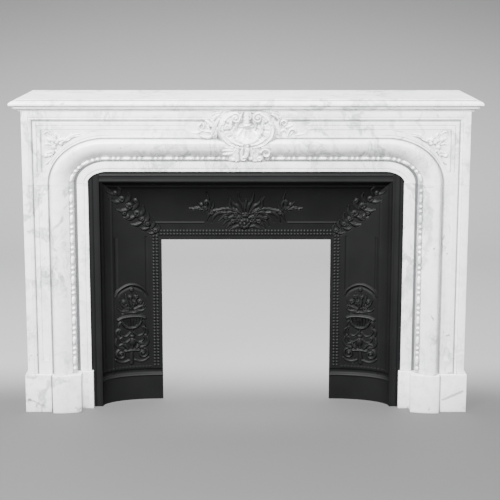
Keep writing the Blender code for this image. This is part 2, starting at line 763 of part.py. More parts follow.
def iron_header():
    """Top casting: a flange between the cheeks' flanges and a cove mitred to theirs."""
    section = []
    for distance, level in flange_section(FLANGE_SHOWN_TOP):
        section.append((COVE_TOP + distance, IRON_Y - level))
    section.append((COVE_TOP, IRON_Y))
    section.append((COVE_TOP, IRON_Y + IRON_WALL))
    section.append((OPENING_HEIGHT + FLANGE_LAP, IRON_Y + IRON_WALL))
    half = COVE_HALF - 2 * GAP
    obj = mesh_object("iron_header", loft([[(x, y, z) for z, y in section] for x in (-half, half)]), IRON)
    rings = []
    for step in range(COVE_STEPS + 1):
        frontal, deep = cove(step / COVE_STEPS)
        x = FIRE_HALF + COVE_RUN * frontal - 2 * GAP
        front_y = IRON_Y + COVE_DEPTH * deep
        back_y = IRON_Y + (COVE_DEPTH + IRON_WALL) * deep
        front_z = FIRE_HEIGHT + COVE_RISE * frontal
        back_z = FIRE_HEIGHT + (COVE_RISE + IRON_WALL) * frontal
        rings.append([
            (-x, front_y, front_z),
            (x, front_y, front_z),
            (x, back_y, back_z),
            (-x, back_y, back_z),
        ])
    ornament = group("iron_header_parts")
    helper(mesh_object("iron_header_cove", loft(rings), IRON), ornament)
    header_ornament(ornament)
    boolean(obj, "UNION", "cove and ornament", ornament)


def header_ornament(into):
    """A garland in the middle of the header and a leafy spray towards each mitre."""
    crest = (IRON_RELIEF * 1.7, IRON_RELIEF * 1.2)

    def leaf(label, course, width):
        petal(f"header_{label}", into, course, width, crest, header_surface, IRON_ROOT, IRON, blunt=0.4)

    rosette = placed(((0.0, 0.066),), z=FIRE_HEIGHT)[0]
    boss("header_rosette", into, rosette, 0.020, IRON_RELIEF * 2, header_surface, IRON_ROOT, IRON)
    garland = (
        ((0.020, 0.064), (0.060, 0.044), (0.100, 0.069), 0.018),
        ((0.090, 0.064), (0.130, 0.064), (0.165, 0.114), 0.016),
        ((0.018, 0.076), (0.050, 0.094), (0.085, 0.086), 0.016),
        ((0.100, 0.082), (0.120, 0.114), (0.110, 0.144), 0.014),
        ((0.010, 0.084), (0.030, 0.114), (0.024, 0.154), 0.016),
        ((0.130, 0.104), (0.160, 0.129), (0.185, 0.126), 0.012),
    )
    mitre = (
        ((0.040, 0.080), (0.056, 0.094), (0.062, 0.122), 0.014),
        ((0.074, 0.104), (0.087, 0.134), (0.114, 0.152), 0.016),
        ((0.052, 0.084), (0.037, 0.109), (0.047, 0.136), 0.013),
    )
    for side in (-1, 1):
        for x, label, sprays in ((0.0, "garland", garland), (FIRE_HALF, "mitre", mitre)):
            for number, (start, bend, end, width) in enumerate(sprays):
                leaf(f"{label}_{number}_{side}", placed((start, bend, end), side, x, FIRE_HEIGHT), width)


def main():
    clear_scene()
    beads_frieze = group("beads_frieze")
    beads_left = group("beads_left")
    beads_right = group("beads_right")
    bead_rows(beads_frieze, beads_left, beads_right)
    shelf()
    frieze(beads_frieze)
    for name, side, beads in (("left", -1, beads_left), ("right", 1, beads_right)):
        jamb("jamb_" + name, side, beads)
        plinth("plinth_" + name, side)
        return_slab("return_" + name, side)
        iron_cheek("iron_cheek_" + name, side)
    iron_header()


main()
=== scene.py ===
"""Carved marble chimneypiece round a coved cast-iron insert.

Finished pieces over the fixed frame, laid out as an add-on and run as a script. Metres, +Z up.
"""

import math

import bmesh
import bpy
import numpy as np
from bpy.props import FloatProperty, FloatVectorProperty, PointerProperty
from bpy.types import Operator, Panel, PropertyGroup
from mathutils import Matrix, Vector


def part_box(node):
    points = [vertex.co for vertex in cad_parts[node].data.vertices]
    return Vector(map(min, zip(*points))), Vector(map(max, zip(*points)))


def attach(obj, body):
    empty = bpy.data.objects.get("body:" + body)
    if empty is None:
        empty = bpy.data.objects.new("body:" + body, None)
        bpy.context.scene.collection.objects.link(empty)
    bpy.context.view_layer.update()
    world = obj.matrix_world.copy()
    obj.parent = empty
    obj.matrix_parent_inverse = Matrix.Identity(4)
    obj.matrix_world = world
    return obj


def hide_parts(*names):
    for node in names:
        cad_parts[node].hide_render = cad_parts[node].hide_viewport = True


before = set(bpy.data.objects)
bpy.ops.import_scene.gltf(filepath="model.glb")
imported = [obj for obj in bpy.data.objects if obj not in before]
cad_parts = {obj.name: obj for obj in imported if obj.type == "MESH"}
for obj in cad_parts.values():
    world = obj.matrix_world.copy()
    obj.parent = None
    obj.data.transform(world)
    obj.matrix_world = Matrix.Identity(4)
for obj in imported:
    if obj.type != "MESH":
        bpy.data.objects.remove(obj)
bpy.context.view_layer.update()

bl_info = {
    "name": "Carved Chimneypiece",
    "version": (1, 0, 0),
    "blender": (4, 5, 0),
    "location": "3D View > Sidebar > Chimneypiece",
    "description": "Carved marble surround with a coved cast-iron fireplace insert",
    "category": "Add Mesh",
}

# Boxes of the frame's nodes
SHELF_LOW, SHELF_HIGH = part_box("mantel_shelf")
FRIEZE_LOW, FRIEZE_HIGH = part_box("frieze")
JAMB_LOW, JAMB_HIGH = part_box("jamb_right")
PLINTH_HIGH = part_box("plinth_right")[1]
RETURN_LOW, RETURN_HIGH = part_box("return_right")
CHEEK_LOW, CHEEK_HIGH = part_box("iron_cheek_right")
HEADER_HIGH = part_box("iron_header")[1]

MM = 0.001

# Room between neighbouring pieces, and at each casting's mitred end
GAP = 0.0003
MITRE_GAP = 0.00006

# Widths across the surround's face
BAND_WIDTH = 0.0365
FIELD_WIDTH = 0.051
TOP_FIELD_WIDTH = 0.058
SIDE_BORDER = 0.1285
TOP_BORDER = 0.118
CORNER_RUN = 0.195
CORNER_RISE = 0.158

# Mouldings: widths along the face and levels forward of the flat band
BAND_FLAT = 0.025
BAND_OVOLO = 0.0085
BAND_OVOLO_DROP = 0.006
BAND_SIDE = 0.009
BAND_GROOVE_DEPTH = 0.0125
BAND_QUIRK = 0.0022
FIELD_LEVEL = -0.004
FIELD_EDGE = 0.004
QUIRK_LEVEL = -0.012
ROLL_START = 0.002
ROLL_RISE_WIDTH = 0.0175
ROLL_CROWN = 0.016
ROLL_WIDTH = 0.0675
ROLL_DROP = 0.023
BEAD_BED_WIDTH = 0.013
BEAD_BED_LEVEL = -0.012
SLIP_GROOVE_WIDTH = 0.010
SLIP_GROOVE_LEVEL = -0.0445
SLIP_SETBACK = 0.036
SLIP_THICKNESS = 0.0117
SLIP_LIP_WIDTH = 0.013
SLIP_LIP_DROP = 0.003

# Sunk panels of the frieze, the jambs and the spandrels
SUNK_DEPTH = 0.003
SUNK_SLOPE = 0.0015
PANEL_TOP_LINE = 0.028
PANEL_LOW_LINE = 0.0105
PANEL_FADE = 0.055
FRIEZE_PANEL_END = 0.205
JAMB_PANEL_EDGE = 0.0155
JAMB_PANEL_WIDTH = 0.024
JAMB_PANEL_FOOT = 0.049
JAMB_PANEL_HEAD = 0.030
JAMB_PANEL_DEPTH = 0.0048
SPANDREL_SIDE = 0.0302
SPANDREL_TOP = 0.030
SPANDREL_HEIGHT = 0.144
SPANDREL_RIM = 0.0155
SPANDREL_RISE = 0.024
SPANDREL_TIP = 0.0154
SPANDREL_SLOPE = 0.0006
SPANDREL_CLEAR = 0.0002
SPANDREL_DEPTH = 0.006
CUTTER_REACH = 0.02

# Incised lines: insets from the body's edge or the quirk, depths and ends
OUTER_LINE = 0.0506
OUTER_LINE_DEPTH = 0.0026
INNER_LINE = 0.0645
INNER_LINE_DEPTH = 0.0030
LOWER_LINE = 0.0105
LOWER_LINE_DEPTH = 0.0026
LOWER_LINE_SPAN = 0.72
LOWER_LINE_NARROWING = 0.35
LINE_WIDTH = 0.0038
LINE_DROP = 0.114
LINE_END = 0.205

# Carved patches, in millimetres: corners, the cartouche's oval, grounds, and how bare ground is sunk
CARTOUCHE_CORNERS = ((-126, -80), (126, 94.5))
RINCEAU_CORNERS = ((94, -3), (198, 72))
SPRAY_CORNERS = ((548, -104), (694, 28))
OVAL_MIDDLE = (3, 34)
OVAL_HALF = (89, 65)
CARTOUCHE_GROUND = -22
LEAF_GROUND = -18
PATCH_TRIM = 1.5
PATCH_SINK = 0.5

# Bead row: two pearls and an olive, repeated
PEARL_PITCH = 0.0167
OLIVE_LENGTH = 0.032
BEAD_REPEAT = 0.0715
BEAD_START = 0.075
BEAD_ROOT = 0.002

# Shelf edge from its underside up: setback from the nose, height as a share of the thickness
SHELF_EDGE = (
    (0.0280, 0.0), (0.0268, 0.085), (0.0225, 0.115), (0.0200, 0.150), (0.0172, 0.235), (0.0172, 0.262),
    (0.0125, 0.272), (0.0125, 0.330), (0.0160, 0.342), (0.0160, 0.372), (0.0100, 0.392), (0.0035, 0.430),
    (0.0, 0.500), (0.0, 0.640), (0.0012, 0.700), (0.0040, 0.755), (0.0072, 0.805), (0.0112, 0.848),
    (0.0160, 0.880), (0.0245, 0.890), (0.0245, 0.930), (0.0200, 0.935), (0.0200, 0.975), (0.0216, 1.0),
)

# Plinths
PLINTH_PROJECTION = 0.009
SLIP_PLINTH_PROJECTION = 0.007
PLINTH_BULGE = 0.016
PLINTH_QUIRK = 0.0065
PLINTH_INNER_SETBACK = 0.007
BULGE_START = 0.28
BULGE_SWEEP = 0.56
BULGE_EASE = 0.9

# Iron insert
FLANGE_SHOWN_SIDE = 0.0365
FLANGE_SHOWN_TOP = 0.038
FLANGE_LAP = 0.030
IRON_WALL = 0.008
COVE_DEPTH = 0.082
FLANGE_STEP = 0.007
FLANGE_SEAT = 0.016
FLANGE_SEAT_LEVEL = 0.003
FLANGE_LINE = 0.0021
FLANGE_ROUNDING = 0.0016
ORNAMENT_FADE = 0.004
CAST_PEARL_SHARE = 0.42
CAST_PEARL_HEIGHT_MM = 3.2
FIRE_WIDTH = 0.597
FIRE_HEIGHT = 0.586

# Worked out from the frame
BODY_HALF = FRIEZE_HIGH.x
BODY_TOP = FRIEZE_HIGH.z
JOINT_Z = FRIEZE_LOW.z
WALL_Y = RETURN_HIGH.y
FACE_Y = JAMB_LOW.y + ROLL_CROWN
BACK_Y = JAMB_HIGH.y
PLINTH_HEIGHT = PLINTH_HIGH.z
PLINTH_HALF = PLINTH_HIGH.x
QUIRK_X = BODY_HALF - BAND_WIDTH - FIELD_WIDTH
QUIRK_Z = BODY_TOP - BAND_WIDTH - TOP_FIELD_WIDTH
OPENING_HALF = QUIRK_X - SIDE_BORDER
OPENING_HEIGHT = QUIRK_Z - TOP_BORDER
CORNER_END_X = QUIRK_X - CORNER_RUN
SLIP_BACK_Y = FACE_Y + SLIP_SETBACK + SLIP_THICKNESS
REBATE_HALF = OPENING_HALF + FLANGE_LAP + 2 * GAP
REBATE_TOP = OPENING_HEIGHT + FLANGE_LAP + 2 * GAP
IRON_Y = CHEEK_LOW.y + FLANGE_SEAT_LEVEL
FIRE_HALF = FIRE_WIDTH / 2
COVE_HALF = OPENING_HALF - FLANGE_SHOWN_SIDE
COVE_TOP = OPENING_HEIGHT - FLANGE_SHOWN_TOP
COVE_RUN = COVE_HALF - FIRE_HALF
COVE_RISE = COVE_TOP - FIRE_HEIGHT

# Facets of curved work
CORNER_RINGS = 40
ROLL_RISE_STEPS = 8
ROLL_FALL_STEPS = 14
BEAD_SIDES = 14
BEAD_STEPS = 5
BEAD_LAST_TURN = math.radians(84)

# Dark marks on the marble: both ends (x, z), width and strength
JOINT_MARKS = (
    ((0.585, JOINT_Z), (0.638, JOINT_Z), 0.0022, 0.40),
    ((0.536, JOINT_Z), (0.556, JOINT_Z), 0.0022, 0.30),
    ((-0.640, JOINT_Z), (-0.612, JOINT_Z), 0.0020, 0.20),
)
SHELF_MARKS = (((-0.608, 1.0895), (-0.603, 1.0905), 0.005, 0.7),)
FRIEZE_MARKS = (
    ((0.530, 0.967), (0.536, 0.968), 0.005, 0.5),
    ((-0.30, 0.938), (-0.27, 0.950), 0.005, 0.25),
)
JAMB_RIGHT_MARKS = (
    ((0.703, 0.277), (0.709, 0.280), 0.006, 0.6),
    ((0.712, 0.144), (0.720, 0.146), 0.005, 0.6),
    ((0.658, 0.142), (0.665, 0.143), 0.005, 0.6),
)
PLINTH_LEFT_MARKS = (
    ((-0.750, 0.051), (-0.744, 0.050), 0.008, 0.8),
    ((-0.744, 0.050), (-0.700, 0.030), 0.005, 0.5),
)
PLINTH_RIGHT_MARKS = (((0.691, 0.051), (0.760, 0.082), 0.006, 0.55),)

# Stage: where the floor fades into the sweep, where the sweep darkens, and the camera's shift
FLOOR_FADE = (-0.08, 0.45)
BACKDROP_FADE = (0.1, 1.7)
CAMERA_SHIFT = (0.008, -0.139)


class ChimneySizes(PropertyGroup):
    """Sizes of the fine work."""

    arris: FloatProperty(name="Arris", description="Rounding of the marble's edges", default=0.0011,
                         unit="LENGTH")
    bead_radius: FloatProperty(name="Bead radius", description="Half the width of a pearl",
                               default=0.0069, unit="LENGTH")
    bead_crown: FloatProperty(name="Bead crown", description="How far a pearl stands off its bed",
                              default=0.0098, unit="LENGTH")
    marble_pitch: FloatProperty(name="Marble pitch", description="Grid of the carving on the frieze",
                                default=0.00102, unit="LENGTH")
    iron_pitch: FloatProperty(name="Iron pitch", description="Grid of the cast ornament",
                              default=0.00162, unit="LENGTH")
    iron_beads: FloatProperty(name="Iron bead repeat", description="Repeat of the cast pearls",
                              default=0.0115, unit="LENGTH")


class ChimneyFinish(PropertyGroup):
    """Colours and gloss of the marble and the iron."""

    marble: FloatVectorProperty(name="Marble", description="Clear ground of the marble",
                                subtype="COLOR", size=4, default=(0.83, 0.84, 0.83, 1.0))
    vein: FloatVectorProperty(name="Vein", description="Grey of the veins", subtype="COLOR", size=4,
                              default=(0.17, 0.18, 0.19, 1.0))
    # Painted shade: the grey that the marble's recesses are darkened towards, where shade falls.
    painted_recess_shade: FloatVectorProperty(name="Grime", description="Grey dust held in the marble's recesses",
                               subtype="COLOR", size=4, default=(0.06, 0.062, 0.065, 1.0))
    marble_gloss: FloatProperty(name="Marble roughness", description="Roughness of honed marble",
                                default=0.33, subtype="FACTOR")
    iron: FloatVectorProperty(name="Iron", description="Blacked cast iron", subtype="COLOR", size=4,
                              default=(0.0038, 0.0039, 0.0041, 1.0))
    # Also the painted highlight: the relief's crests are lightened towards this colour, as well as real
    # rubbing.
    iron_rubbed_and_highlight: FloatVectorProperty(name="Rubbed iron", description="Iron where hands have rubbed it",
                                     subtype="COLOR", size=4, default=(0.008, 0.0082, 0.0085, 1.0))
    iron_gloss: FloatProperty(name="Iron roughness", description="Roughness of satin black",
                              default=0.60, subtype="FACTOR")


class ChimneyStage(PropertyGroup):
    """Floor, light and camera."""

    floor: FloatVectorProperty(name="Floor", description="Pale floor in front", subtype="COLOR",
                               size=4, default=(0.075, 0.075, 0.075, 1.0))
    backdrop: FloatVectorProperty(name="Backdrop", description="Pale sweep behind", subtype="COLOR",
                                  size=4, default=(0.25, 0.25, 0.25, 1.0))
    backdrop_top: FloatVectorProperty(name="Backdrop top", description="Sweep above the shelf",
                                      subtype="COLOR", size=4, default=(0.072, 0.072, 0.072, 1.0))
    key: FloatProperty(name="Key light", description="Power of the large front light", default=140.0,
                       unit="POWER")
    high: FloatProperty(name="High light", description="Power of the shadowless light above",
                        default=1100.0, unit="POWER")
    fill: FloatProperty(name="Fill light", description="Power of the light at the right", default=25.0,
                        unit="POWER")
    back: FloatProperty(name="Back light", description="Power of the light over the backdrop",
                        default=220.0, unit="POWER")
    ambient: FloatProperty(name="Ambient", description="Strength of the even light all round",
                           default=0.07)
    camera_distance: FloatProperty(name="Camera distance", description="From the origin to the camera",
                                   default=4.2, unit="LENGTH")
    camera_height: FloatProperty(name="Camera height", description="Camera over the floor",
                                 default=1.48, unit="LENGTH")
    camera_pitch: FloatProperty(name="Camera pitch", description="How far the camera looks down",
                                default=math.radians(9.26), subtype="ANGLE")
    lens: FloatProperty(name="Lens", description="Focal length in millimetres", default=87.2)


# Node trees

class Wire:
    """A socket on which shader sums are written as Python expressions."""

    def __init__(self, shade, socket):
        self.shade = shade
        self.socket = socket

    def math(self, operation, *values):
        sockets = {0: self}
        sockets.update({number + 1: value for number, value in enumerate(values)})
        return self.shade.add("ShaderNodeMath", {"operation": operation}, sockets)

    def __add__(self, other):
        return self.math("ADD", other)

    def __mul__(self, other):
        return self.math("MULTIPLY", other)

    def __sub__(self, other):
        return self.math("SUBTRACT", other)

    def __rsub__(self, other):
        return self.shade.add("ShaderNodeMath", {"operation": "SUBTRACT"}, {0: other, 1: self})

    def __abs__(self):
        return self.math("ABSOLUTE")

    __radd__ = __add__
    __rmul__ = __mul__

    def between(self, low, high):
        """0 below low, 1 above high, eased between."""
        return self.shade.add("ShaderNodeMapRange", {"interpolation_type": "SMOOTHSTEP"},
                              {"Value": self, "From Min": low, "From Max": high})

    def line(self, level, width):
        """1 where the value is at the level, falling to 0 at the width from it."""
        return 1 - abs(self - level).between(0.0, width)


class Shade:
    """One material's node tree."""

    def __init__(self, name):
        self.material = bpy.data.materials.new(name)
        self.material.use_nodes = True
        self.tree = self.material.node_tree
        self.shader = self.tree.nodes["Principled BSDF"]

    def put(self, socket, value):
        if isinstance(value, Wire):
            self.tree.links.new(value.socket, socket)
        else:
            socket.default_value = value

    def add(self, kind, settings=None, sockets=None, output=0):
        node = self.tree.nodes.new(kind)
        for key, value in (settings or {}).items():
            setattr(node, key, value)
        for key, value in (sockets or {}).items():
            self.put(node.inputs[key], value)
        return Wire(self, node.outputs[output])

    def set(self, name, value):
        self.put(self.shader.inputs[name], value)

    def spot(self):
        """The place on the object, in metres."""
        return self.add("ShaderNodeTexCoord", None, None, 3)

    def part(self, vector, axis):
        """One coordinate of a place: 0 for x, 1 for y, 2 for z."""
        return self.add("ShaderNodeSeparateXYZ", None, {0: vector}, axis)

    def mix(self, share, low, high):
        """A colour between two colours."""
        node = self.tree.nodes.new("ShaderNodeMix")
        node.data_type = "RGBA"
        self.put(node.inputs[0], share)
        self.put(node.inputs[6], low)
        self.put(node.inputs[7], high)
        return Wire(self, node.outputs[2])

    def vector(self, operation, first, second):
        return self.add("ShaderNodeVectorMath", {"operation": operation}, {0: first, 1: second})

    def scaled(self, vector, scale):
        return self.add("ShaderNodeVectorMath", {"operation": "SCALE"}, {0: vector, "Scale": scale})

    def streak(self, spot, start, end, width):
        """1 along a line between two places (x, z) of the face, falling to 0 at the width from it."""
        first = Vector((start[0], 0.0, start[1]))
        run = Vector((end[0], 0.0, end[1])) - first
        flat = self.vector("MULTIPLY", spot, (1.0, 0.0, 1.0))
        rel = self.vector("SUBTRACT", flat, tuple(first))
        share = self.add("ShaderNodeVectorMath", {"operation": "DOT_PRODUCT"},
                         {0: rel, 1: tuple(run / run.length_squared)}, 1)
        held = self.add("ShaderNodeClamp", None, {"Value": share})
        foot = self.scaled(tuple(run), held)
        away = self.add("ShaderNodeVectorMath", {"operation": "DISTANCE"}, {0: rel, 1: foot}, 1)
        return 1 - away.between(width * 0.25, width)

    def noise(self, place, scale, detail=3.0, rough=0.5, output=0):
        return self.add("ShaderNodeTexNoise", None, {
            "Vector": place, "Scale": scale, "Detail": detail, "Roughness": rough}, output)

    def bump(self, height, strength, distance):
        return self.add("ShaderNodeBump", None, {
            "Height": height, "Strength": strength, "Distance": distance})


def painted_groove_shade(shade, spot):
    """1 on the bed of the bead row and in the groove beside the slip: painted shade on the bed, painted
    shadow in the groove.
    """
    wide = abs(shade.part(spot, 0))
    deep = shade.part(spot, 1) - FACE_Y
    bed = deep.between(9.6 * MM, 11.6 * MM) * (1 - deep.between(12.4 * MM, 14 * MM))
    groove = deep.between(SLIP_SETBACK + 4 * MM, SLIP_SETBACK + 6 * MM)
    slip_back = SLIP_SETBACK + SLIP_THICKNESS
    back = deep.between(slip_back - 1.5 * MM, slip_back - MM)
    inside = 1 - wide.between(QUIRK_X - 2 * MM, QUIRK_X)
    return (bed * 0.6 + groove * (1 - back)) * inside


def marble(piece, shift, lean, marks=(), shades_grooves=False):
    """White marble with soft grey clouds, thin veins that lean one way, a few dark specks, and painted
    shade in its recesses.

    Each mark is a dark vein or spot on the face: its two ends (x, z), its width and its strength.
    """
    finish = bpy.context.scene.chimney_finish
    shade = Shade("marble_" + piece)
    spot = shade.spot()
    moved = shade.vector("ADD", spot, shift)
    turned = shade.add("ShaderNodeMapping", None, {
        "Vector": moved, "Rotation": (0.3, lean, 0.2), "Scale": (1.0, 1.0, 0.34)})
    swirl = shade.scaled(shade.noise(moved, 3.2, 4.0, 0.55, 1), 0.34)
    course = shade.vector("ADD", turned, swirl)
    cloud = shade.noise(course, 2.6, 5.0, 0.62).between(0.44, 0.76)
    patches = shade.noise(moved, 2.4, 2.0).between(0.44, 0.64)
    broad = shade.noise(course, 5.5, 5.0, 0.6).line(0.5, 0.040) * patches
    fine = shade.noise(course, 17.0, 4.0, 0.6).line(0.5, 0.055)
    faint = fine * shade.noise(moved, 6.0, 2.0).between(0.48, 0.66)
    drift = shade.noise(course, 8.0, 6.0, 0.72).between(0.52, 0.80)
    mottle = shade.noise(moved, 34.0, 4.0, 0.65).between(0.40, 0.75)
    cells = shade.add("ShaderNodeTexVoronoi", None, {"Vector": course, "Scale": 24.0})
    speck = (1 - cells.between(0.05, 0.13)) * shade.noise(moved, 9.0, 1.0).between(0.53, 0.60)
    grey = cloud * 0.20 + broad * 0.52 + faint * 0.32 + drift * 0.42 + mottle * 0.20
    ground = shade.mix(grey.math("MINIMUM", 1.0), tuple(finish.marble), tuple(finish.vein))
    # Painted shade: where ambient occlusion finds a recess, the ground is darkened towards a grey.
    open_sky = shade.add("ShaderNodeAmbientOcclusion", {"samples": 8}, {"Distance": 0.014}, 1)
    painted_recess_shade = (1 - open_sky).between(0.20, 0.90) * 0.80
    # Painted shade on the bead bed and painted shadow in the slip's groove, on pieces with a bead row.
    if shades_grooves:
        painted_recess_shade = painted_recess_shade.math("MAXIMUM", painted_groove_shade(shade, spot) * 0.95)
    ground = shade.mix(painted_recess_shade, ground, tuple(finish.painted_recess_shade))
    dark = speck * 0.7
    edge = shade.vector("ADD", spot, shade.scaled(shade.noise(moved, 60.0, 3.0, 0.6, 1), 0.012))
    for start, end, width, strength in marks:
        dark = dark.math("MAXIMUM", shade.streak(edge, start, end, width) * strength)
    shade.set("Base Color", shade.mix(dark, ground, (0.07, 0.075, 0.08, 1.0)))
    shade.set("Roughness", finish.marble_gloss + mottle * 0.07 + broad * 0.05)
    shade.set("IOR", 1.5)
    grain = shade.noise(moved, 420.0, 2.0) * 0.6 + shade.noise(moved, 60.0, 2.0) * 0.4
    shade.set("Normal", shade.bump(grain, 0.08, 0.0004))
    return shade.material


def iron(piece):
    """Blacked cast iron: satin, faintly grained, and paler on the relief's crests, partly as rubbed iron
    and partly as a painted highlight.
    """
    finish = bpy.context.scene.chimney_finish
    shade = Shade("iron_" + piece)
    spot = shade.spot()
    # Painted highlight and rubbing: convex crests, found by pointiness, are lightened.
    sharp = shade.add("ShaderNodeNewGeometry", None, None, "Pointiness")
    crest = sharp.between(0.503, 0.535) * (1 - sharp.between(0.56, 0.60))
    smudge = shade.noise(spot, 7.0, 4.0, 0.6).between(0.35, 0.75)
    shade.set("Base Color", shade.mix(crest * 0.8 + smudge * 0.2, tuple(finish.iron),
                                      tuple(finish.iron_rubbed_and_highlight)))
    shade.set("Roughness", finish.iron_gloss + smudge * 0.10 - crest * 0.08)
    shade.set("Metallic", 0.2)
    shade.set("IOR", 1.26)
    grain = shade.noise(spot, 700.0, 2.0) * 0.7 + shade.noise(spot, 120.0, 3.0) * 0.3
    shade.set("Normal", shade.bump(grain, 0.14, 0.0003))
    return shade.material


# Meshes

def new_object(name, vertices, faces):
    """An object from points and faces, with its faces turned outwards."""
    mesh = bpy.data.meshes.new(name)
    mesh.from_pydata([tuple(point) for point in vertices], [], faces)
    bm = bmesh.new()
    bm.from_mesh(mesh)
    bmesh.ops.recalc_face_normals(bm, faces=bm.faces)
    bm.to_mesh(mesh)
    bm.free()
    obj = bpy.data.objects.new(name, mesh)
    bpy.context.scene.collection.objects.link(obj)
    return obj


def loft_faces(rows, count, start=0):
    """Faces of a closed loft whose rings have equally many points."""
    faces = []
    for row in range(rows - 1):
        low = start + row * count
        for i in range(count):
            j = (i + 1) % count
            faces.append((low + i, low + j, low + count + j, low + count + i))
    faces.append([start + i for i in reversed(range(count))])
    faces.append([start + (rows - 1) * count + i for i in range(count)])
    return faces


def loft(name, rings):
    return new_object(name, [point for ring in rings for point in ring],
                      loft_faces(len(rings), len(rings[0])))


def lofts(name, solids):
    """Several separate lofts in one object."""
    vertices = []
    faces = []
    for rings in solids:
        faces += loft_faces(len(rings), len(rings[0]), len(vertices))
        vertices += [point for ring in rings for point in ring]
    return new_object(name, vertices, faces)


def grid_quads(rows, columns):
    """The numbers of a grid's points, and the faces between them."""
    index = np.arange(rows * columns).reshape(rows, columns)
    quads = np.stack([index[:-1, :-1], index[:-1, 1:], index[1:, 1:], index[1:, :-1]], -1)
    return index, quads.reshape(-1, 4).tolist()


def relief_solid(name, front, back):
    """A closed mesh from a grid of front points and the places behind the grid's edge."""
    index, faces = grid_quads(*front.shape[:2])
    rim = np.concatenate([index[0, :-1], index[:-1, -1], index[-1, :0:-1], index[:0:-1, 0]])
    points = front.reshape(-1, 3)
    behind = points[rim].copy()
    behind[:, 1] = back
    first = len(points)
    count = len(rim)
    for i in range(count):
        j = (i + 1) % count
        faces.append([int(rim[i]), first + i, first + j, int(rim[j])])
    faces.append([first + i for i in range(count)])
    return new_object(name, np.concatenate([points, behind]), faces)


def combine(obj, others, operation):
    """Cuts other closed objects out of this one, or fuses them with it, and removes them."""
    for other in others:
        modifier = obj.modifiers.new(operation.lower(), "BOOLEAN")
        modifier.operation = operation
        modifier.solver = "MANIFOLD"
        modifier.object = other
    depsgraph = bpy.context.evaluated_depsgraph_get()
    depsgraph.update()
    made = bpy.data.meshes.new_from_object(obj.evaluated_get(depsgraph))
    obj.modifiers.clear()
    old = obj.data
    obj.data = made
    bpy.data.meshes.remove(old)
    for other in others:
        mesh = other.data
        bpy.data.objects.remove(other)
        bpy.data.meshes.remove(mesh)


def finish_piece(obj, made, slot, *nodes, angle=38):
    """Gives a piece its finish and its place on the body, and hides the frame's nodes that it stands for.
    """
    obj.data.materials.clear()
    obj.data.materials.append(made)
    obj.data.shade_smooth()
    obj.data.set_sharp_from_angle(angle=math.radians(angle))
    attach(obj, "root")
    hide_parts(*nodes)


def soften(points, radius, steps=3, least=14):
    """An open outline with each corner rounded, no further than its neighbours allow."""
    spots = [np.array(point, float) for point in points]
    rounded = [spots[0]]
    for before, corner, after in zip(spots, spots[1:], spots[2:]):
        into = corner - before
        out = after - corner
        length_in, length_out = np.linalg.norm(into), np.linalg.norm(out)
        bend = math.degrees(math.acos(max(-1.0, min(1.0, into @ out / (length_in * length_out)))))
        if bend < least:
            rounded.append(corner)
            continue
        reach = min(radius, 0.42 * length_in, 0.42 * length_out)
        start = corner - into / length_in * reach
        end = corner + out / length_out * reach
        for step in range(steps + 1):
            share = step / steps
            rounded.append((1 - share) ** 2 * start + 2 * share * (1 - share) * corner
                           + share ** 2 * end)
    rounded.append(spots[-1])
    return rounded


def mirrored(rings):
    return [[(-x, y, z) for x, y, z in ring] for ring in reversed(rings)]


# Surround

def border_section():
    """Points across the border from the field to the opening: offset from the quirk, level."""
    points = [(-FIELD_EDGE, FIELD_LEVEL), (0.0, QUIRK_LEVEL)]
    for step in range(1, ROLL_RISE_STEPS + 1):
        turn = math.radians(90) * step / ROLL_RISE_STEPS
        points.append((
            ROLL_RISE_WIDTH * (1 - math.cos(turn)) + ROLL_START * math.cos(turn),
            QUIRK_LEVEL + (ROLL_CROWN - QUIRK_LEVEL) * math.sin(turn),
        ))
    for step in range(1, ROLL_FALL_STEPS + 1):
        share = step / ROLL_FALL_STEPS
        points.append((
            ROLL_RISE_WIDTH + (ROLL_WIDTH - ROLL_RISE_WIDTH) * share,
            ROLL_CROWN - ROLL_DROP * share * share,
        ))
    bed_end = ROLL_WIDTH + BEAD_BED_WIDTH
    slip = bed_end + SLIP_GROOVE_WIDTH
    return points + [
        (ROLL_WIDTH + MM, BEAD_BED_LEVEL),
        (bed_end, BEAD_BED_LEVEL),
        (bed_end + MM, SLIP_GROOVE_LEVEL),
        (slip, SLIP_GROOVE_LEVEL),
        (slip + MM, -SLIP_SETBACK),
        (SIDE_BORDER - SLIP_LIP_WIDTH, -SLIP_SETBACK),
        (SIDE_BORDER - SLIP_LIP_WIDTH + MM, -SLIP_SETBACK - SLIP_LIP_DROP),
        (SIDE_BORDER, -SLIP_SETBACK - SLIP_LIP_DROP),
        (SIDE_BORDER, -SLIP_SETBACK - SLIP_THICKNESS),
    ]


def band_section():
    """Points round the outer band, from its side over the face to the field."""
    return [
        (0.0, -BAND_SIDE),
        (0.0, 0.0),
        (BAND_FLAT - BAND_QUIRK, 0.0),
        (BAND_FLAT - BAND_QUIRK * 0.7, -BAND_QUIRK),
        (BAND_FLAT, -BAND_QUIRK),
        (BAND_FLAT + BAND_QUIRK * 0.5, -0.0005),
        (BAND_FLAT + BAND_OVOLO * 0.6, -BAND_OVOLO_DROP * 0.36),
        (BAND_FLAT + BAND_OVOLO, -BAND_OVOLO_DROP),
        (BAND_FLAT + BAND_OVOLO + MM, -BAND_GROOVE_DEPTH),
        (BAND_WIDTH, -BAND_GROOVE_DEPTH),
        (BAND_WIDTH + 2 * MM, FIELD_LEVEL),
        (BAND_WIDTH + 6 * MM, FIELD_LEVEL),
    ]


def rail(half, top, share):
    """A point of a square-cornered rail round the surround, from the joint to the corner's end."""
    if share <= 0.5:
        return -half, JOINT_Z + (top - JOINT_Z) * share / 0.5
    run = (share - 0.5) / 0.5
    return -half + (half - CORNER_END_X) * run, top


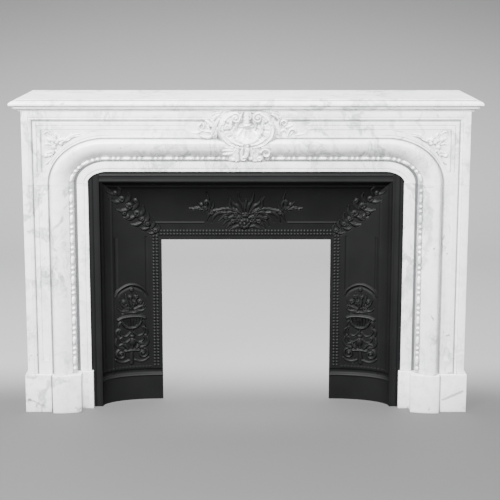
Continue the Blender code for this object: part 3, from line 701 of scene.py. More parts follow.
def quirk(share, run=CORNER_RUN, rise=CORNER_RISE):
    """The quirk's point and its inward normal, from the joint to the end of the rounded corner."""
    turn = math.radians(90) * share
    point = Vector((-CORNER_END_X - run * math.cos(turn), JOINT_Z + rise * math.sin(turn)))
    normal = Vector((math.cos(turn) / run, -math.sin(turn) / rise)).normalized()
    return point, normal


def border_point(share, offset):
    point, normal = quirk(share)
    scale = 1 + (TOP_BORDER / SIDE_BORDER - 1) * normal[1] ** 2
    return point + normal * offset * scale


def surround_ring(share, band, border):
    """One closed section of the surround, from its outer back edge over the face to the opening."""
    ring = []
    for inset, level in band:
        x, z = rail(BODY_HALF - inset, BODY_TOP - inset, share)
        ring.append((x, FACE_Y - level, z))
    for offset, level in border:
        x, z = border_point(share, offset)
        ring.append((x, FACE_Y - level, z))
    x, z = rail(REBATE_HALF, REBATE_TOP, share)
    ring.append((x, SLIP_BACK_Y, z))
    ring.append((x, BACK_Y, z))
    x, z = rail(BODY_HALF, BODY_TOP, share)
    ring.append((x, BACK_Y, z))
    return ring


def sections():
    arris = bpy.context.scene.chimney_sizes.arris
    return soften(band_section(), arris), soften(border_section(), arris)


def bead_course():
    """The bead row's line on the left half, from the middle of the frieze down to the plinth."""
    offset = ROLL_WIDTH + (BEAD_BED_WIDTH + MM) / 2
    fine = 48
    corner = [border_point(step / fine, offset) for step in range(fine, -1, -1)]
    return [Vector((0.0, corner[0][1]))] + corner + [Vector((corner[-1][0], PLINTH_HEIGHT))]


def along(course, distance):
    """The point at a distance along a course, and the direction there."""
    for start, end in zip(course, course[1:]):
        length = (end - start).length
        if distance <= length:
            way = (end - start) / length
            return start + way * distance, way
        distance -= length
    return None


def bead_places():
    """Centre, direction and length of every bead on the left half, pattern by pattern."""
    course = bead_course()
    total = sum((end - start).length for start, end in zip(course, course[1:]))
    radius = bpy.context.scene.chimney_sizes.bead_radius
    start = BEAD_START
    while start < total:
        for shift, length in (
            (0.0, 2 * radius),
            (PEARL_PITCH, 2 * radius),
            (PEARL_PITCH + (BEAD_REPEAT - PEARL_PITCH) / 2, OLIVE_LENGTH),
        ):
            if start + shift + OLIVE_LENGTH / 2 < total:
                place, way = along(course, start + shift)
                yield place, way, length
        start += BEAD_REPEAT


def bead(place, way, length):
    """Rings of a pearl, or of an olive drawn out along the row."""
    sizes = bpy.context.scene.chimney_sizes
    across = Vector((-way[1], way[0]))
    stretch = length / 2 - sizes.bead_radius
    rings = []
    for step in range(BEAD_STEPS + 1):
        turn = BEAD_LAST_TURN * step / BEAD_STEPS
        radius = sizes.bead_radius * math.cos(turn)
        height = sizes.bead_crown * math.sin(turn) if step else -BEAD_ROOT
        ring = []
        for corner in range(BEAD_SIDES):
            angle = 2 * math.pi * corner / BEAD_SIDES
            lean = math.cos(angle)
            reach = radius * lean + stretch * math.copysign(abs(lean) ** 0.35, lean) * math.cos(turn) ** 0.3
            spot = place + way * reach + across * radius * math.sin(angle)
            ring.append((spot[0], FACE_Y - BEAD_BED_LEVEL - height, spot[1]))
        rings.append(ring)
    return rings


def bead_solids(side, in_frieze):
    """The beads of one half that lie wholly on the frieze, or wholly on the jamb."""
    for place, way, length in bead_places():
        reach = length / 2 + GAP
        if (place[1] - reach > JOINT_Z) if in_frieze else (place[1] + reach < JOINT_Z):
            yield bead(Vector((side * place[0], place[1])), Vector((side * way[0], way[1])), length)


def inset_outline(outline, amount):
    """The outline drawn in by an amount, with its sharpest corners held back."""
    spots = [Vector(point) for point in outline]
    area = sum(spots[i - 1].cross(spots[i]) for i in range(len(spots)))
    side = math.copysign(1.0, area)
    drawn = []
    for i, spot in enumerate(spots):
        into = (spot - spots[i - 1]).normalized()
        out = (spots[(i + 1) % len(spots)] - spot).normalized()
        inward = Vector((-into[1] - out[1], into[0] + out[0])) * side
        drawn.append(spot + inward * amount / max(0.5, 1 + into.dot(out)))
    return drawn


def sunk_cutter(name, outline, bottom, ground_y):
    """A cutter for a sunk panel: its outline on the field and the outline of its ground."""
    return loft(name, [[(x, y, z) for x, z in ring] for y, ring in (
        (FACE_Y - CUTTER_REACH, outline), (FACE_Y - FIELD_LEVEL, outline), (ground_y, bottom))])


def line_cutter(path, depth):
    """A cutter for a line incised in the field, mitred where it turns."""
    field = FACE_Y - FIELD_LEVEL
    points = [Vector(point) for point in path]
    rings = []
    for i, point in enumerate(points):
        into = (point - points[i - 1]).normalized() if i else (points[1] - point).normalized()
        out = (points[i + 1] - point).normalized() if i + 1 < len(points) else into
        across = Vector((-into[1] - out[1], into[0] + out[0])) / (1 + into.dot(out)) * LINE_WIDTH / 2
        rings.append([(point[0] + across[0] * share, y, point[1] + across[1] * share)
                      for share, y in ((-1, FACE_Y - CUTTER_REACH), (-1, field), (0, field + depth),
                                       (1, field), (1, FACE_Y - CUTTER_REACH))])
    return loft("line_cutter", rings)


def spandrel_outline(side):
    """The sunk triangle between the square corner of the field and the curve of the roll."""
    outer = BODY_HALF - BAND_WIDTH - SPANDREL_SIDE
    top = BODY_TOP - BAND_WIDTH - SPANDREL_TOP
    run = CORNER_RUN + SPANDREL_RIM
    rise = CORNER_RISE + SPANDREL_RISE
    low_turn = math.asin((top - SPANDREL_HEIGHT - JOINT_Z) / rise)
    high_turn = math.acos(SPANDREL_TIP / run)
    points = [(-outer, top), (-outer, top - SPANDREL_HEIGHT)]
    steps = 30
    for step in range(steps + 1):
        share = step / steps
        turn = low_turn + (high_turn - low_turn) * share
        reach = rise + (top - JOINT_Z - rise) * share ** 5
        point, _ = quirk(turn / math.radians(90), run, reach)
        points.append((point[0], min(point[1], top - SPANDREL_CLEAR)))
    points[-1] = (points[-1][0], top)
    return [(-side * x, z) for x, z in points]


def incised_lines(side):
    """Lines cut round the spandrel and along the frieze's panel."""
    cutters = []
    low = QUIRK_Z - LINE_DROP
    for inset, depth in ((OUTER_LINE, OUTER_LINE_DEPTH), (INNER_LINE, INNER_LINE_DEPTH)):
        x, z = BODY_HALF - inset, BODY_TOP - inset
        path = [(side * x, low), (side * x, z), (side * LINE_END, z)]
        cutters.append(line_cutter(path if side < 0 else path[::-1], depth))
    curve = []
    steps = 26
    for step in range(steps + 1):
        share = 1 - LOWER_LINE_SPAN * step / steps
        point, normal = quirk(share)
        curve.append(point - normal * LOWER_LINE * (1 - LOWER_LINE_NARROWING * (1 - share)))
    path = [(-LINE_END, curve[0][1])] + [(point[0], point[1]) for point in curve]
    path = [(-side * x, z) for x, z in path]
    cutters.append(line_cutter(path if side > 0 else path[::-1], LOWER_LINE_DEPTH))
    return cutters


# Carving

def smooth_line(points, count):
    """A line through all the points, curved evenly from one to the next."""
    spots = np.array(points, float)
    if len(spots) == 2:
        share = np.linspace(0, 1, count)[:, None]
        return spots[0] * (1 - share) + spots[1] * share
    padded = np.vstack([2 * spots[0] - spots[1], spots, 2 * spots[-1] - spots[-2]])
    line = []
    for place in np.linspace(0, len(spots) - 1, count):
        part = min(int(place), len(spots) - 2)
        t = place - part
        a, b, c, d = padded[part:part + 4]
        line.append(0.5 * (2 * b + (c - a) * t + (2 * a - 5 * b + 4 * c - d) * t ** 2
                           + (3 * b - a - 3 * c + d) * t ** 3))
    return np.array(line)


def spiral(centre, wide, tight, start, sweep):
    """Points of a volute, in degrees from the right, turning towards its eye."""
    points = []
    steps = 14
    for step in range(steps + 1):
        share = step / steps
        turn = math.radians(start + sweep * share)
        reach = wide + (tight - wide) * share ** 0.8
        points.append((centre[0] + reach * math.cos(turn), centre[1] + reach * math.sin(turn)))
    return points


class Relief:
    """Heights over a grid of places, all in millimetres, built up stroke by stroke."""

    def __init__(self, across, up, ground):
        self.across = across
        self.up = up
        self.height = np.zeros(across.shape) + ground

    def measure(self, points, reach, count):
        """Grid cells near a line, their distance from it, the side they lie on and their share of it."""
        line = smooth_line(points, count)
        low = line.min(axis=0) - reach
        high = line.max(axis=0) + reach
        near = ((self.across > low[0]) & (self.across < high[0])
                & (self.up > low[1]) & (self.up < high[1]))
        spots = np.stack([self.across[near], self.up[near]], -1)[:, None, :]
        start = line[:-1][None]
        step = (line[1:] - line[:-1])[None]
        rel = spots - start
        part = np.clip((rel * step).sum(-1) / (step * step).sum(-1), 0, 1)
        off = rel - part[..., None] * step
        away = np.hypot(off[..., 0], off[..., 1])
        best = away.argmin(axis=1)
        rows = np.arange(len(best))
        cross = (step[0, best, 0] * rel[rows, best, 1] - step[0, best, 1] * rel[rows, best, 0])
        return near, away[rows, best], np.sign(cross), (best + part[rows, best]) / (count - 1)

    def stroke(self, points, width, crest, form="round", ends=(0.4, 0.12), thick=3.0, steep=2.6,
               cut=0.9, lobes=0, veins=0, count=26):
        """A carved stem, leaf or band along a line: crest is its height at the start and at the end."""
        near, away, side, share = self.measure(points, width / 2 + 16, count)
        swell = np.interp(share, (0, 0.2, 0.42, 0.75, 1), (
            ends[0], (1 + ends[0]) / 2 * 1.08, 1.0, (1 + ends[1]) / 2 * 1.08, ends[1]))
        if lobes:
            swell = swell * (0.86 + 0.2 * np.abs(np.sin(math.pi * lobes * share)))
        half = np.maximum(width / 2 * swell, 0.3)
        place = away / half
        inner = np.minimum(place, 1.0)
        top = crest[0] + (crest[1] - crest[0]) * share
        if form == "round":
            fall = thick * inner ** 2
        elif form == "ridge":
            fall = thick * inner
        elif form == "leaf":
            fall = thick * (0.55 * np.abs(inner - 0.45) + 0.5 * inner ** 4)
        else:
            fall = thick * (0.9 * (1 - inner ** 2) * (inner < 0.8) + 0.324 * (inner >= 0.8))
        if veins:
            wave = np.cos(2 * math.pi * (veins * share - 0.55 * inner))
            fall = fall + thick * 0.22 * (1 + wave) * inner
        beyond = np.maximum(0, away - half)
        raised = top - fall - steep * beyond
        current = self.height[near]
        if cut:
            moat = cut * np.exp(-((beyond - 0.9) / 0.9) ** 2) * (beyond > 0)
            current = np.where(current > raised, current - moat, current)
        self.height[near] = np.maximum(current, raised)

    def dome(self, centre, radius, crest, thick=3.0, steep=2.6, squash=1.0, cut=0.9):
        """A round or oval knob."""
        away = np.hypot(self.across - centre[0], (self.up - centre[1]) * squash)
        beyond = np.maximum(0, away - radius)
        raised = crest - thick * np.minimum(away / radius, 1) ** 2 - steep * beyond
        moat = cut * np.exp(-((beyond - 0.9) / 0.9) ** 2) * (beyond > 0)
        current = np.where(self.height > raised, self.height - moat, self.height)
        self.height = np.maximum(current, raised)

    def groove(self, points, width, depth, count=26):
        """A cut line."""
        near, away, _, share = self.measure(points, width * 2, count)
        fade = np.minimum(1, 6 * np.minimum(share, 1 - share) + 0.15)
        self.height[near] -= depth * fade * np.exp(-(away / (width / 2)) ** 2)

    def drill(self, centre, radius, depth):
        """A round hole."""
        away = np.hypot(self.across - centre[0], self.up - centre[1])
        self.height -= depth * np.exp(-(away / radius) ** 4)

    def ease(self, passes=2):
        """Rubs the carving down a little, as polishing does."""
        for _ in range(passes):
            padded = np.pad(self.height, 1, mode="edge")
            around = (padded[:-2, 1:-1] + padded[2:, 1:-1] + padded[1:-1, :-2] + padded[1:-1, 2:]) / 4
            self.height = self.height * 0.5 + around * 0.5


def marble_patch(name, low, high, pitch, ground, carve):
    """A carved patch of the frieze: millimetres from the middle of the frieze at the quirk's height.

    Bare ground sinks under the deepest moulding, so that only the carving shows.
    """
    columns = int((high[0] - low[0]) / (pitch / MM)) + 2
    rows = int((high[1] - low[1]) / (pitch / MM)) + 2
    across, up = np.meshgrid(np.linspace(low[0], high[0], columns), np.linspace(low[1], high[1], rows))
    relief = Relief(across, up, ground)
    carve(relief)
    relief.ease()
    relief.height[relief.height < ground + PATCH_TRIM] = SLIP_GROOVE_LEVEL / MM - PATCH_SINK
    front = np.stack([across * MM, FACE_Y - relief.height * MM, QUIRK_Z + up * MM], -1)
    return relief_solid(name, front, SLIP_BACK_Y - PATCH_SINK * MM)


def turned(points, side):
    return [(side * across, up) for across, up in points]


def oval(side, low, high, reach, steps=10):
    """Points along the cartouche's oval between two angles, in degrees up from its middle."""
    points = []
    for step in range(steps + 1):
        turn = math.radians(low + (high - low) * step / steps)
        points.append((OVAL_MIDDLE[0] + side * OVAL_HALF[0] * reach * math.cos(turn),
                       OVAL_MIDDLE[1] + OVAL_HALF[1] * reach * math.sin(turn)))
    return points


def carve_bowl(relief):
    """The scallop: deep flutes that fan out from its hinge to a ruffled rim."""
    across = (relief.across - 3.0) / 60.0
    down = (54.0 - relief.up) / 76.0
    reach = np.hypot(across, down)
    turn = np.arctan2(across, down)
    flutes = 9
    spread = math.radians(132)
    hollow = np.abs(np.sin(math.pi * (turn / spread + 1) / 2 * flutes))
    edge = 0.93 + 0.08 * hollow ** 0.6
    level = 6 + 17 * np.clip(reach / 0.85, 0, 1) ** 2
    fluted = np.clip((reach - 0.12) / 0.35, 0, 1) * (1 - np.clip((reach - 0.74) / 0.10, 0, 1))
    ruffle = 5.5 * np.exp(-((reach - 0.885) / 0.075) ** 2) * hollow ** 0.6
    raised = level - 5.0 * fluted * hollow ** 0.7 + ruffle - 170 * np.maximum(0, reach - edge)
    relief.height = np.maximum(relief.height, np.where(np.abs(turn) < spread * 1.25, raised, -99))


def carve_cartouche(relief):
    """A shell in a broken frame of scrolls, with lobes between them, leaves beside and a fan below."""
    carve_bowl(relief)
    for side in (-1, 1):
        for points, width, crest in (
            (((92, 66), (103, 46), (112, 24), (117, 8)), 15, (15, 9)),
            (((96, 36), (100, 20), (99, 6)), 12, (17, 10)),
            (((90, 84), (104, 74), (113, 58)), 12, (14, 9)),
            (((84, 92), (100, 88), (114, 82)), 10, (13, 8)),
        ):
            relief.stroke(turned(points, side), width, crest, "leaf", ends=(0.5, 0.15), veins=3,
                          thick=5.0, cut=2.8)
        for lobe in range(6):
            tilt = -72 + 27 * lobe
            inner, outer = oval(side, tilt, tilt + 6, 0.58, 1)[0], oval(side, tilt, tilt, 0.85, 1)[0]
            relief.stroke((inner, outer), 25, (18, 29), "leaf", ends=(0.4, 0.9), thick=6.5, steep=3.0,
                          cut=2.6, veins=1)
        relief.stroke(oval(side, 104, 24, 0.95), 12, (25, 31), "round", ends=(0.6, 0.7), thick=5.0,
                      cut=3.4, count=40)
        relief.stroke(oval(side, 84, 36, 0.955), 4.5, (29, 31), "flute", ends=(0.5, 0.5), thick=2.5,
                      cut=1.6, count=40)
        relief.dome(oval(side, 19, 19, 0.94, 1)[0], 7.5, 32, thick=6, cut=3.4)
        relief.stroke(oval(side, 14, -70, 0.95), 14, (32, 29), "flute", ends=(0.7, 0.5), thick=5.5,
                      cut=3.4, count=44)
        relief.stroke(oval(side, -22, -74, 0.84), 9, (29, 32), "ridge", ends=(0.2, 0.5), thick=5,
                      cut=2.4, count=40)
        relief.stroke(turned(((26, 62), (33, 48), (31, 30)), side), 11, (27, 17), "leaf", veins=3,
                      ends=(0.6, 0.2), thick=5.0, cut=2.6)
        eye = (3 + side * 37, 72)
        start, sweep = (75, 470) if side > 0 else (105, -470)
        relief.stroke(spiral(eye, 17.5, 5.0, start, sweep), 8.5, (31, 36), "round", ends=(0.8, 0.6),
                      thick=6.5, cut=4.0, count=54)
        relief.dome(eye, 4.4, 36, thick=4, cut=2.0)
        relief.stroke(turned(((12, 92), (17, 78), (13, 64)), side), 8, (29, 25), "leaf", veins=2,
                      ends=(0.7, 0.3), thick=4.0, cut=3.0)
        relief.drill((3 + side * 10, 64), 4.0, 8)
    relief.stroke(((3, 94), (3, 76), (3, 60), (3, 47)), 19, (29, 33), "leaf", ends=(0.8, 0.55), veins=4,
                  thick=5.5, cut=3.4)
    relief.dome((3, 48), 10, 34.5, thick=5, squash=1.5, cut=3.4)
    relief.stroke(((-22, 45), (3, 40), (26, 45)), 5, (20, 20), "round", ends=(0.3, 0.3), thick=3, cut=1.6)
    for points, width, crest in (
        (((-28, -24), (-34, -44), (-33, -68)), 27, (27, 17)),
        (((30, -24), (34, -44), (32, -68)), 26, (27, 17)),
        (((-11, -26), (-15, -46), (-14, -70)), 11, (25, 16)),
        (((17, -26), (20, -46), (19, -70)), 11, (25, 16)),
        (((5, -22), (6, -40), (1, -58)), 14, (31, 25)),
    ):
        relief.stroke(points, width, crest, "leaf", ends=(0.45, 0.8), thick=6.0, veins=2, cut=3.2)
    for centre, radius in (((-41, -69), 7.5), ((-8, -66), 9.5), ((46, -67), 9.5), ((18, -66), 6.5)):
        relief.dome(centre, radius, 18, thick=4.5, cut=3.2)
    relief.drill((-8, -66), 3.2, 9)
    relief.drill((46, -67), 3.0, 6)
    for points in (((-44, -28), (-60, -27), (-78, -25)), ((-46, -37), (-62, -37), (-80, -38)),
                   ((-46, -46), (-60, -49), (-76, -51))):
        relief.stroke(points, 8.5, (24, 15), "leaf", ends=(0.8, 0.35), thick=5.0, cut=3.4)
    relief.stroke(((54, -27), (70, -26), (92, -29)), 8, (24, 15), "leaf", ends=(0.8, 0.3), thick=5.0,
                  cut=3.4)
    relief.stroke(((50, -44), (58, -35), (72, -36), (80, -46), (75, -57), (64, -57), (61, -50)), 7,
                  (26, 18), "round", ends=(0.8, 0.6), thick=5.5, cut=3.4, count=40)
    relief.groove(((-40, -19), (-18, -25), (3, -27), (22, -25), (40, -19)), 4.5, 7.0)


def carve_rinceau(side):
    """Acanthus curls that run out of the cartouche over the frieze's field."""
    left = (
        (((-98, 12), (-116, 24), (-134, 26), (-148, 27)), 9, (9, 7), 0),
        (spiral((-148, 42), 14, 4, -80, -430), 6.5, (8, 7), 0),
        (((-102, 28), (-114, 44), (-130, 58), (-138, 64)), 12, (9, 5), 5),
        (((-104, 46), (-112, 60), (-124, 70)), 9, (8, 5), 3),
        (((-106, 14), (-126, 6), (-146, 8), (-160, 14)), 10, (8, 5), 5),
        (((-150, 27), (-166, 20), (-184, 22)), 8, (7, 4), 4),
        (((-122, 30), (-128, 42), (-124, 52)), 7, (8, 5), 3),
    )
    right = (
        (((100, 12), (112, 28), (116, 44)), 9, (9, 7), 0),
        (spiral((128, 53), 12, 4, 200, -400), 6.5, (8, 7), 0),
        (((106, 44), (108, 58), (118, 70)), 9, (8, 5), 3),
        (((110, 18), (124, 30), (136, 26), (140, 12)), 9, (9, 6), 4),
        (((140, 10), (148, 30), (160, 33), (168, 24), (172, 12)), 8, (9, 6), 0),
        (((148, 12), (156, 22), (162, 22)), 7, (8, 5), 3),
        (((168, 14), (182, 15), (194, 17)), 7, (7, 4), 3),
        (((134, 40), (146, 42), (158, 48)), 7, (7, 4), 3),
    )

    def carve(relief):
        for points, width, crest, veins in (left if side < 0 else right):
            form = "leaf" if veins else "round"
            relief.stroke(points, width, crest, form, veins=veins, thick=3.4, cut=2.0, count=34)
        if side < 0:
            relief.drill((-148, 50), 3.2, 8)
            relief.drill((-150, 39), 3.4, 8)
        else:
            relief.drill((128, 53), 3.4, 9)
            relief.drill((104, 27), 3.0, 7)
    return carve


def carve_spray(side):
    """A spray that fans out of the middle of the curve over the sunk triangle."""
    quirk_mm = QUIRK_X / MM
    leaves = (
        (((-22, -30), (-30, -14), (-42, -4), (-60, -2)), 9, (10, 8)),
        (((-46, -12), (-64, -6), (-80, 4), (-96, 9)), 9, (10, 6)),
        (((-60, -4), (-76, 6), (-92, 14), (-114, 18)), 9, (9, 5)),
        (((-72, 2), (-80, 12), (-84, 20)), 8, (8, 5)),
        (((-92, 8), (-106, 10), (-118, 13)), 6, (7, 5)),
        (((-20, -26), (-16, -14), (-6, -4), (8, 2)), 9, (10, 6)),
        (((-24, -14), (-22, -2), (-26, 10), (-20, 20)), 9, (9, 5)),
        (((-34, -12), (-40, 2), (-44, 14)), 8, (8, 5)),
        (((-14, -20), (0, -18), (14, -22)), 8, (8, 4)),
        (((-22, -30), (-19, -44), (-14, -57), (-13, -74)), 8, (10, 6)),
        (((-18, -42), (-4, -48), (8, -48)), 8, (8, 5)),
        (((-15, -54), (-2, -58), (8, -66)), 9, (9, 5)),
        (((-14, -66), (-2, -78), (10, -90)), 8, (8, 4)),
        (((-26, -40), (-32, -50), (-34, -58)), 7, (7, 4)),
        (((-12, 14), (0, 24), (10, 18), (4, 10)), 6, (8, 6)),
    )
    buds = ((-9, -5, 6), (-23, -7, 6.5), (-31, -14, 5.5), (-43, -5, 5.5), (-45, -17, 5), (-59, -6, 5),
            (-20, -29, 7), (6, -58, 5.5))

    def carve(relief):
        for points, width, crest in leaves:
            moved = [(side * (quirk_mm + across), up) for across, up in points]
            level = (crest[0] - 8, crest[1] - 8)
            relief.stroke(moved, width, level, "leaf", veins=4, thick=3.2, cut=1.8, lobes=3)
        for across, up, radius in buds:
            relief.dome((side * (quirk_mm + across), up), radius, 4.5, thick=4.5, cut=2.0)
            relief.drill((side * (quirk_mm + across), up), radius * 0.32, 2.0)
    return carve


# Iron

def cove_places():
    """Frontal and depth shares of evenly spaced places from the flange to the fire opening."""
    turn = np.linspace(0, math.pi / 2, 400)
    steps = np.hypot(np.diff(COVE_RUN * np.cos(turn)), np.diff(COVE_DEPTH * np.sin(turn)))
    length = np.concatenate([[0], np.cumsum(steps)])
    count = int(length[-1] / bpy.context.scene.chimney_sizes.iron_pitch)
    even = np.interp(np.linspace(0, length[-1], count), length, turn)
    return np.cos(even), np.sin(even)


def ornament_fade(frontal, run):
    """0 at the flange and at the fire opening, 1 a little inside them, where the ornament is whole."""
    return np.minimum(1, np.minimum(frontal * run, (1 - frontal) * run * 4) / ORNAMENT_FADE)[:, None]


def flange_section(shown):
    """Across a flange from its seat behind the marble to the cove: distance from the cove, level."""
    outer = shown + FLANGE_LAP
    seat = outer - FLANGE_SEAT
    points = [
        (outer, FLANGE_SEAT_LEVEL),
        (seat, FLANGE_SEAT_LEVEL),
        (seat - FLANGE_SEAT_LEVEL, 0.0),
        (3.6 * FLANGE_STEP, 0.0),
        (3.4 * FLANGE_STEP, FLANGE_LINE),
        (3.1 * FLANGE_STEP, FLANGE_LINE),
        (2.9 * FLANGE_STEP, 0.0),
        (1.1 * FLANGE_STEP, 0.0),
        (0.9 * FLANGE_STEP, FLANGE_LINE / 4),
        (0.3 * FLANGE_STEP, FLANGE_LINE / 4),
        (0.0, 0.0),
        (0.0, -IRON_WALL),
    ]
    return soften(points, FLANGE_ROUNDING) + [(outer, -IRON_WALL)]


def cove_solid(name, relief_height, frontal, deep, lengthwise, ends, axis, side=1):
    """A cast cove with its ornament: fine in front, plain behind, and mitred where castings meet.

    lengthwise runs 0 to 1 along the casting, and ends gives its end points at each frontal share.
    """
    columns = len(frontal)
    run = COVE_RUN if axis == "Z" else COVE_RISE
    normal = np.stack([COVE_DEPTH * frontal, run * deep], -1)
    normal /= np.linalg.norm(normal, axis=1)[:, None]
    base = FIRE_HALF if axis == "Z" else FIRE_HEIGHT
    low, high = ends
    front = np.zeros((columns, len(lengthwise), 3))
    back = np.zeros((columns, 2, 3))
    for i in range(columns):
        lift = relief_height[i] * MM
        place = base + run * frontal[i] - normal[i, 0] * lift
        depth = IRON_Y + COVE_DEPTH * deep[i] - normal[i, 1] * lift
        length = low[i] + (high[i] - low[i]) * lengthwise
        meet = normal[i, 0] * lift / run
        if axis == "Z":
            length = length - COVE_RISE * meet * lengthwise
        else:
            length = length - COVE_RUN * meet * (2 * lengthwise - 1)
        behind = base + (run + IRON_WALL) * frontal[i]
        behind_y = IRON_Y + (COVE_DEPTH + IRON_WALL) * deep[i]
        further = IRON_WALL / run * frontal[i]
        if axis == "Z":
            free = min(1.0, max(0.0, (behind_y - IRON_Y - IRON_WALL) / IRON_WALL))
            end = high[i] + COVE_RISE * further * free
            front[i] = np.stack([side * place, depth, length], -1)
            back[i] = [(side * behind, behind_y, low[i]), (side * behind, behind_y, end)]
        else:
            end = high[i] + COVE_RUN * further
            front[i] = np.stack([length, depth, place], -1)
            back[i] = [(-end, behind_y, behind), (end, behind_y, behind)]
    rows = len(lengthwise)
    index, faces = grid_quads(columns, rows)
    first = columns * rows
    for i in range(columns - 1):
        here, there = first + 2 * i, first + 2 * i + 2
        faces.append([here, there, there + 1, here + 1])
        faces.append([int(index[i, 0]), int(index[i + 1, 0]), there, here])
        faces.append([int(index[i, -1]), here + 1, there + 1, int(index[i + 1, -1])])
    faces.append(index[0].tolist() + [first + 1, first])
    faces.append(index[-1].tolist()[::-1] + [first + 2 * columns - 2, first + 2 * columns - 1])
    return new_object(name, np.concatenate([front.reshape(-1, 3), back.reshape(-1, 3)]), faces)


def cast_beads(relief, along, away, places, shown=1.0):
    """Straight cast rows of pearls, side by side."""
    repeat = bpy.context.scene.chimney_sizes.iron_beads / MM
    spot = (along / repeat + 0.5) % 1 * repeat - repeat / 2
    for place in places:
        far = np.hypot(spot, away - place) / (repeat * CAST_PEARL_SHARE)
        relief.height += shown * CAST_PEARL_HEIGHT_MM * np.sqrt(np.maximum(0, 1 - far ** 2))


def cast_line(relief, away, place, width, height, shown=1.0):
    """A straight line along a casting, raised, or sunk where its height is negative."""
    relief.height += shown * height * np.exp(-((away - place) / (width / 2)) ** 4)


def flower(relief, centre, radius, crest, petals=5):
    """A flower with a drilled eye."""
    relief.dome(centre, radius, crest, thick=2.6, steep=1.8, cut=1.6)
    relief.drill(centre, radius * 0.35, 1.8)
    for petal in range(petals):
        turn = 2 * math.pi * (petal + 0.3) / petals
        tip = (centre[0] + radius * math.cos(turn), centre[1] + radius * math.sin(turn))
        relief.groove((centre, tip), 1.8, 1.6, 6)


def carve_mitre_spray(relief, place):
    """A spray of leaves and flowers laid over the mitre, drawn alike on both castings.

    Millimetres out from the fire opening's side and up from its head.
    """
    for points, width, crest in (
        (((8, 18), (30, 34), (58, 52), (88, 90), (112, 122), (140, 152)), 7, (6.0, 2.5)),
        (((14, 26), (8, 42), (14, 56)), 10, (6, 4)),
        (((22, 26), (38, 22), (52, 30)), 10, (6, 4)),
        (((36, 40), (26, 56), (30, 72)), 12, (6.5, 4)),
        (((44, 44), (62, 38), (76, 46)), 12, (6.5, 4)),
        (((60, 60), (46, 76), (46, 98)), 13, (7, 4)),
        (((68, 64), (88, 54), (106, 58)), 13, (7, 4)),
        (((78, 84), (62, 102), (62, 126)), 14, (7.5, 4)),
        (((90, 88), (110, 78), (132, 84)), 14, (7.5, 4)),
        (((98, 110), (82, 130), (84, 152)), 14, (7.5, 4)),
        (((112, 114), (134, 106), (156, 114)), 14, (7.5, 4)),
        (((122, 138), (108, 156), (112, 176)), 12, (7, 4)),
        (((136, 144), (156, 140), (176, 150)), 12, (7, 4)),
        (((148, 166), (140, 182), (146, 196)), 10, (6, 4)),
        (((158, 170), (174, 172), (188, 184)), 10, (6, 4)),
    ):
        relief.stroke([place(a, u) for a, u in points], width, crest, "leaf", veins=3, lobes=3,
                      thick=3.0, steep=2.0, cut=2.4)
    for a, u, radius in ((20, 32, 8), (48, 56, 8), (84, 94, 11), (110, 122, 11), (136, 148, 9),
                         (66, 74, 8), (128, 98, 7), (88, 142, 7), (116, 86, 6), (158, 172, 6)):
        flower(relief, place(a, u), radius, 8.0)


